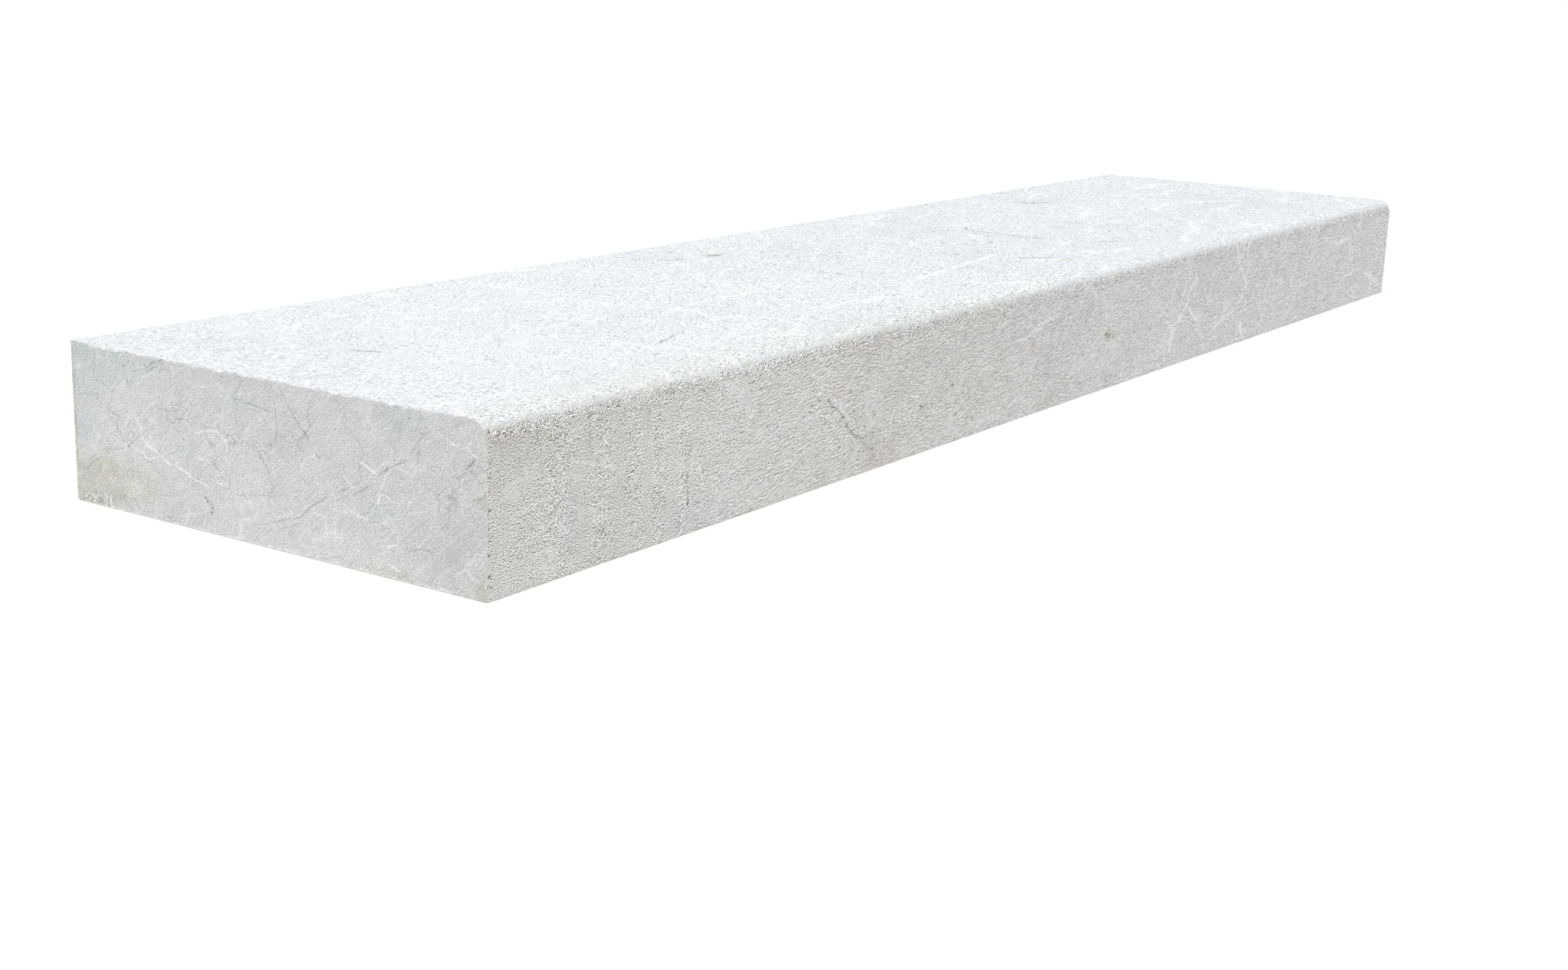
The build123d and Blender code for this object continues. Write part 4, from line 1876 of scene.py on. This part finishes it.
@dataclass(frozen=True)
class SawnFinish:
    """Stone as the saw left it: smooth, cool grey, and scored by the blade.

    Attributes:
        name: The material's name.
        path: How the blade went.
        disc_centre: The axis of the disc, across and up, in metres.
        score_size: How far apart the scores are, in metres.
        score_length: How much noise there is in a metre along them.
        relief: How deep they are, in metres.
        clouds: The colours.
        size: How far apart the crests of the grain are, in metres.
        grain: The grain.
        contrast: How strong the grain's painted light and shade are in the colour.
        mottles: The size of each, in metres, its roughness and how much it changes the colour.
        score_tone: How much the scores change the colour.
        pale_web: The pale hairlines.
        pale_colour: Their colour, from 0 to 255.
        pale_share: How much they cover.
        dark_web: The dark hairlines.
        dark_share: How much they cover.
        dirt: The colour of the dark hairlines, and of dirt.
        vein: The colour of the veins.
        veins: How strong the veins are.
        cracks: How strong the dark seams are.
        grain_relief: How high the grain is, as a share of the relief.
        roughness: That of the hollows and that of the crests.
        gloss: The specular level.
    """

    name: str
    path: SawPath
    disc_centre: Pair = (-0.75, -0.62)
    score_size: float = 2.2 * MM
    score_length: float = 8.0
    relief: float = 0.4 * MM
    clouds: Clouding = Clouding((222, 224, 223), (233, 234, 233), (213, 216, 215))
    size: float = 1.8 * MM
    grain: Grain = Grain((0.0, 0.5 * MM, 0.5 * MM), lumps=0.7)
    contrast: float = 0.34
    mottles: tuple[Triple, ...] = ((0.005, 0.6, 0.22), (0.02, 0.5, 0.16))
    score_tone: float = 0.3
    pale_web: Web = Web(0.030, 1.5 * MM, (1.0, 2.0, 1.0), (-0.7, 0.0, 0.0), 0.05)
    pale_colour: Shade = (250, 250, 250)
    pale_share: float = 0.65
    dark_web: Web = Web(0.045, 1.3 * MM, (1.0, 2.0, 1.0), (0.5, 0.2, 0.0), 0.04)
    dark_share: float = 0.3
    dirt: Shade = (118, 119, 117)
    vein: Shade = (252, 252, 252)
    veins: float = 1.6
    cracks: float = 1.2
    grain_relief: float = 0.6
    roughness: Pair = (0.72, 0.55)
    gloss: float = 0.35

    def _scores(self, graph: Graph, here: Feed) -> Socket:
        """Gives the blade's scores, as noise that changes across them and hardly along them.

        Args:
            graph: The material's graph.
            here: The place on the block.

        Returns:
            The height of the scores, about 0.
        """
        place = graph.parts(here)
        if self.path is SawPath.DISC:
            across = graph.less(place["Y"], self.disc_centre[0])
            up = graph.less(place["Z"], self.disc_centre[1])
            where = graph.math("SQRT", graph.total(graph.product(across, across), graph.product(up, up)))
            lengthwise = graph.product(place["Y"], self.score_length)
        else:
            where = graph.total(place["Z"], place["Y"])
            lengthwise = graph.product(place["X"], self.score_length)
        feeds = {"X": graph.math("DIVIDE", where, self.score_size), "Y": lengthwise}
        spot = graph.add("ShaderNodeCombineXYZ", feeds).outputs[0]
        patches = graph.span(graph.clouds(here, 0.09, 2.0), 0.40, 0.58, 0.25, 1.0)
        return graph.product(graph.less(graph.crests(spot, 1.0, 3.0, 0.6)["Fac"], 0.5), patches)

    def material(self, effects: StoneEffects) -> bpy.types.Material:
        """Builds the material.

        Args:
            effects: The shared shader groups.

        Returns:
            The material.
        """
        material, graph, shader = started_material(self.name)
        here = graph.here()
        grain = self.grain.placed(graph, effects, self.size)
        score = self._scores(graph, here)
        mottles = (
            graph.centred(graph.clouds(here, size, 3.0, rough), gain) for size, rough, gain in self.mottles
        )
        # The grain's painted light and shade go into the colour, with the mottles and the scores
        tone = graph.total(
            graph.product(grain["Tone"], self.contrast), *mottles, graph.product(score, self.score_tone)
        )
        colour = graph.shaded(self.clouds.placed(graph, effects), tone)
        for web, share, shade in (
            (self.pale_web, self.pale_share, self.pale_colour),
            (self.dark_web, self.dark_share, self.dirt),
        ):
            colour = graph.mix(graph.product(web.placed(graph, effects), share), colour, srgb(*shade))
        patina = graph.group(effects.patina, {
            "Colour": colour, "Vein": srgb(*self.vein), "Dirt": srgb(*self.dirt), "Veins": self.veins,
            "Cracks": self.cracks,
        })
        graph.feed(shader.inputs["Base Color"], patina.outputs["Colour"])
        graph.feed(shader.inputs["Roughness"], graph.span(grain["Height"], *CREST_LEVELS, *self.roughness))
        shader.inputs["Specular IOR Level"].default_value = self.gloss
        height = graph.total(graph.product(grain["Height"], self.grain_relief), score)
        graph.roughen(shader, graph.less(height, patina.outputs["Dark"]), self.relief)
        return material


@dataclass
class Studio:
    """The floor, the light and the camera.

    Attributes:
        focal_pixels: The camera's focal length, in pixels of the photograph.
        camera_spot: The camera's place, in metres.
        heading: The direction in which it looks, anticlockwise from +X, in degrees.
        pitch: How far it looks up, in degrees.
        roll: How far it leans, in degrees.
        sensor: The sensor's width, in millimetres.
        clip: The nearest and the furthest that it sees, in metres.
        sun_from: The direction that the main light comes from.
        sun_strength: The main light's strength.
        sun_angle: How wide the main light is, in degrees.
        sky: The strength of the light from all round.
        floor_size: The length of the floor's sides, in metres.
        floor_gap: How far the floor lies below the stone, in metres.
        floor_bounce: How pale the floor is to the light.
        floor_shown: How much of the light and shadow on it shows.
        floor_glow: How much it glows to the camera, so that it is white beside the shadow.
    """

    focal_pixels: float = 2788.98
    camera_spot: Triple = (-2.34148, -1.34006, 0.52136)
    heading: float = 33.125
    pitch: float = -14.233
    roll: float = 1.989
    sensor: float = 36.0
    clip: Pair = (0.05, 200.0)
    sun_from: Triple = (-0.26, -0.14, 0.955)
    sun_strength: float = 2.1
    sun_angle: float = 24.0
    sky: float = 0.5
    floor_size: float = 80.0
    floor_gap: float = 0.2 * MM
    floor_bounce: float = 0.8
    floor_shown: float = 0.62
    floor_glow: float = 0.32

    def build(self) -> None:
        """Makes the camera, the light, the world and the floor."""
        self._camera()
        self._sun()
        self._world()
        self._floor()
        view = bpy.context.scene.view_settings
        view.view_transform = "Standard"

    def _camera(self) -> None:
        """Puts the camera where the photograph was taken from."""
        heading, pitch, roll = (math.radians(a) for a in (self.heading, self.pitch, self.roll))
        forward = Vector((
            math.cos(pitch) * math.cos(heading), math.cos(pitch) * math.sin(heading), math.sin(pitch)
        ))
        right = forward.cross(Vector((0.0, 0.0, 1.0))).normalized()
        up = right.cross(forward)
        leaned_right = right * math.cos(roll) + up * math.sin(roll)
        leaned_up = up * math.cos(roll) - right * math.sin(roll)
        turn = Matrix((leaned_right, leaned_up, -forward)).transposed()
        data = bpy.data.cameras.new("camera")
        data.sensor_width = self.sensor
        data.sensor_fit = "HORIZONTAL"
        data.lens = self.focal_pixels * self.sensor / PHOTO_WIDTH
        data.clip_start, data.clip_end = self.clip
        camera = bpy.data.objects.new("camera", data)
        camera.matrix_world = Matrix.Translation(self.camera_spot) @ turn.to_4x4()
        bpy.context.scene.collection.objects.link(camera)
        bpy.context.scene.camera = camera

    def _sun(self) -> None:
        """Makes the main light: high, wide and a little to the front and left."""
        data = bpy.data.lights.new("key", "SUN")
        data.energy = self.sun_strength
        data.angle = math.radians(self.sun_angle)
        lamp = bpy.data.objects.new("key", data)
        lamp.rotation_mode = "QUATERNION"
        lamp.rotation_quaternion = Vector(self.sun_from).to_track_quat("Z", "Y")
        bpy.context.scene.collection.objects.link(lamp)

    @staticmethod
    def _seen(graph: Graph) -> Socket:
        """Gives 1 for the rays that show the background, and 0 for those that carry light."""
        rays = graph.add("ShaderNodeLightPath").outputs
        seen = graph.math("MAXIMUM", rays["Is Camera Ray"], rays["Is Glossy Ray"])
        return graph.math("MAXIMUM", seen, rays["Is Transmission Ray"])

    def _world(self) -> None:
        """Lights from all round, and shows white to the camera."""
        world = bpy.data.worlds.new("studio")
        bpy.context.scene.world = world
        world.use_nodes = True
        graph = Graph(world.node_tree)
        graph.tree.nodes.clear()
        light = graph.add("ShaderNodeBackground", {"Color": grey(1.0), "Strength": self.sky})
        white = graph.add("ShaderNodeBackground", {"Color": grey(1.0), "Strength": 1.0})
        feeds = {0: self._seen(graph), 1: light.outputs[0], 2: white.outputs[0]}
        both = graph.add("ShaderNodeMixShader", feeds)
        graph.add("ShaderNodeOutputWorld", {"Surface": both.outputs[0]})

    def _floor(self) -> None:
        """Makes a white floor that keeps the block's soft shadow."""
        half = self.floor_size / 2.0
        corners = [(x * half, y * half, -self.floor_gap) for x, y in ((-1, -1), (1, -1), (1, 1), (-1, 1))]
        mesh = bpy.data.meshes.new("floor")
        mesh.from_pydata(corners, [], [(0, 1, 2, 3)])
        floor = bpy.data.objects.new("floor", mesh)
        bpy.context.scene.collection.objects.link(floor)
        material = bpy.data.materials.new("white_floor")
        material.use_nodes = True
        graph = Graph(material.node_tree)
        graph.tree.nodes.clear()
        bounce = graph.add("ShaderNodeBsdfDiffuse", {"Color": grey(self.floor_bounce)})
        shown = graph.add("ShaderNodeBsdfDiffuse", {"Color": grey(self.floor_shown)})
        glow = graph.add("ShaderNodeEmission", {"Color": grey(1.0), "Strength": self.floor_glow})
        white = graph.add("ShaderNodeAddShader", {0: shown.outputs[0], 1: glow.outputs[0]})
        feeds = {0: self._seen(graph), 1: bounce.outputs[0], 2: white.outputs[0]}
        both = graph.add("ShaderNodeMixShader", feeds)
        graph.add("ShaderNodeOutputMaterial", {"Surface": both.outputs[0]})
        mesh.materials.append(material)


def main() -> None:
    """Loads the frame, then builds and dresses the stone and sets up the studio."""
    logging.basicConfig(level=logging.INFO, format="%(name)s: %(message)s")
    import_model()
    low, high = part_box(NODE)
    shape = BlockShape(low, high, nosing=20.0 * MM)
    seams = left_end_seams() + riser_seams() + tread_seams()
    seams += wandering_seams(Place.RIGHT, (shape.depth / MM, shape.height / MM), count=46, seed=4)
    seams += wandering_seams(Place.BACK, (shape.length / MM, shape.height / MM), count=60, seed=9)
    marks = Marks(shape, seams, stains(), pits(), chips(shape))
    stone = StepTread(shape, marks).build()
    effects = StoneEffects()
    for finish in (
        BlastedFinish(),
        SawnFinish("end_sawn_limestone", SawPath.DISC),
        SawnFinish("back_sawn_limestone", SawPath.ALONG),
    ):
        stone.data.materials.append(finish.material(effects))
    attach(stone, BODY)
    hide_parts(NODE)
    log.info("%s: %d triangles", stone.name, len(stone.data.polygons))
    Studio().build()


if __name__ == "__main__":
    main()
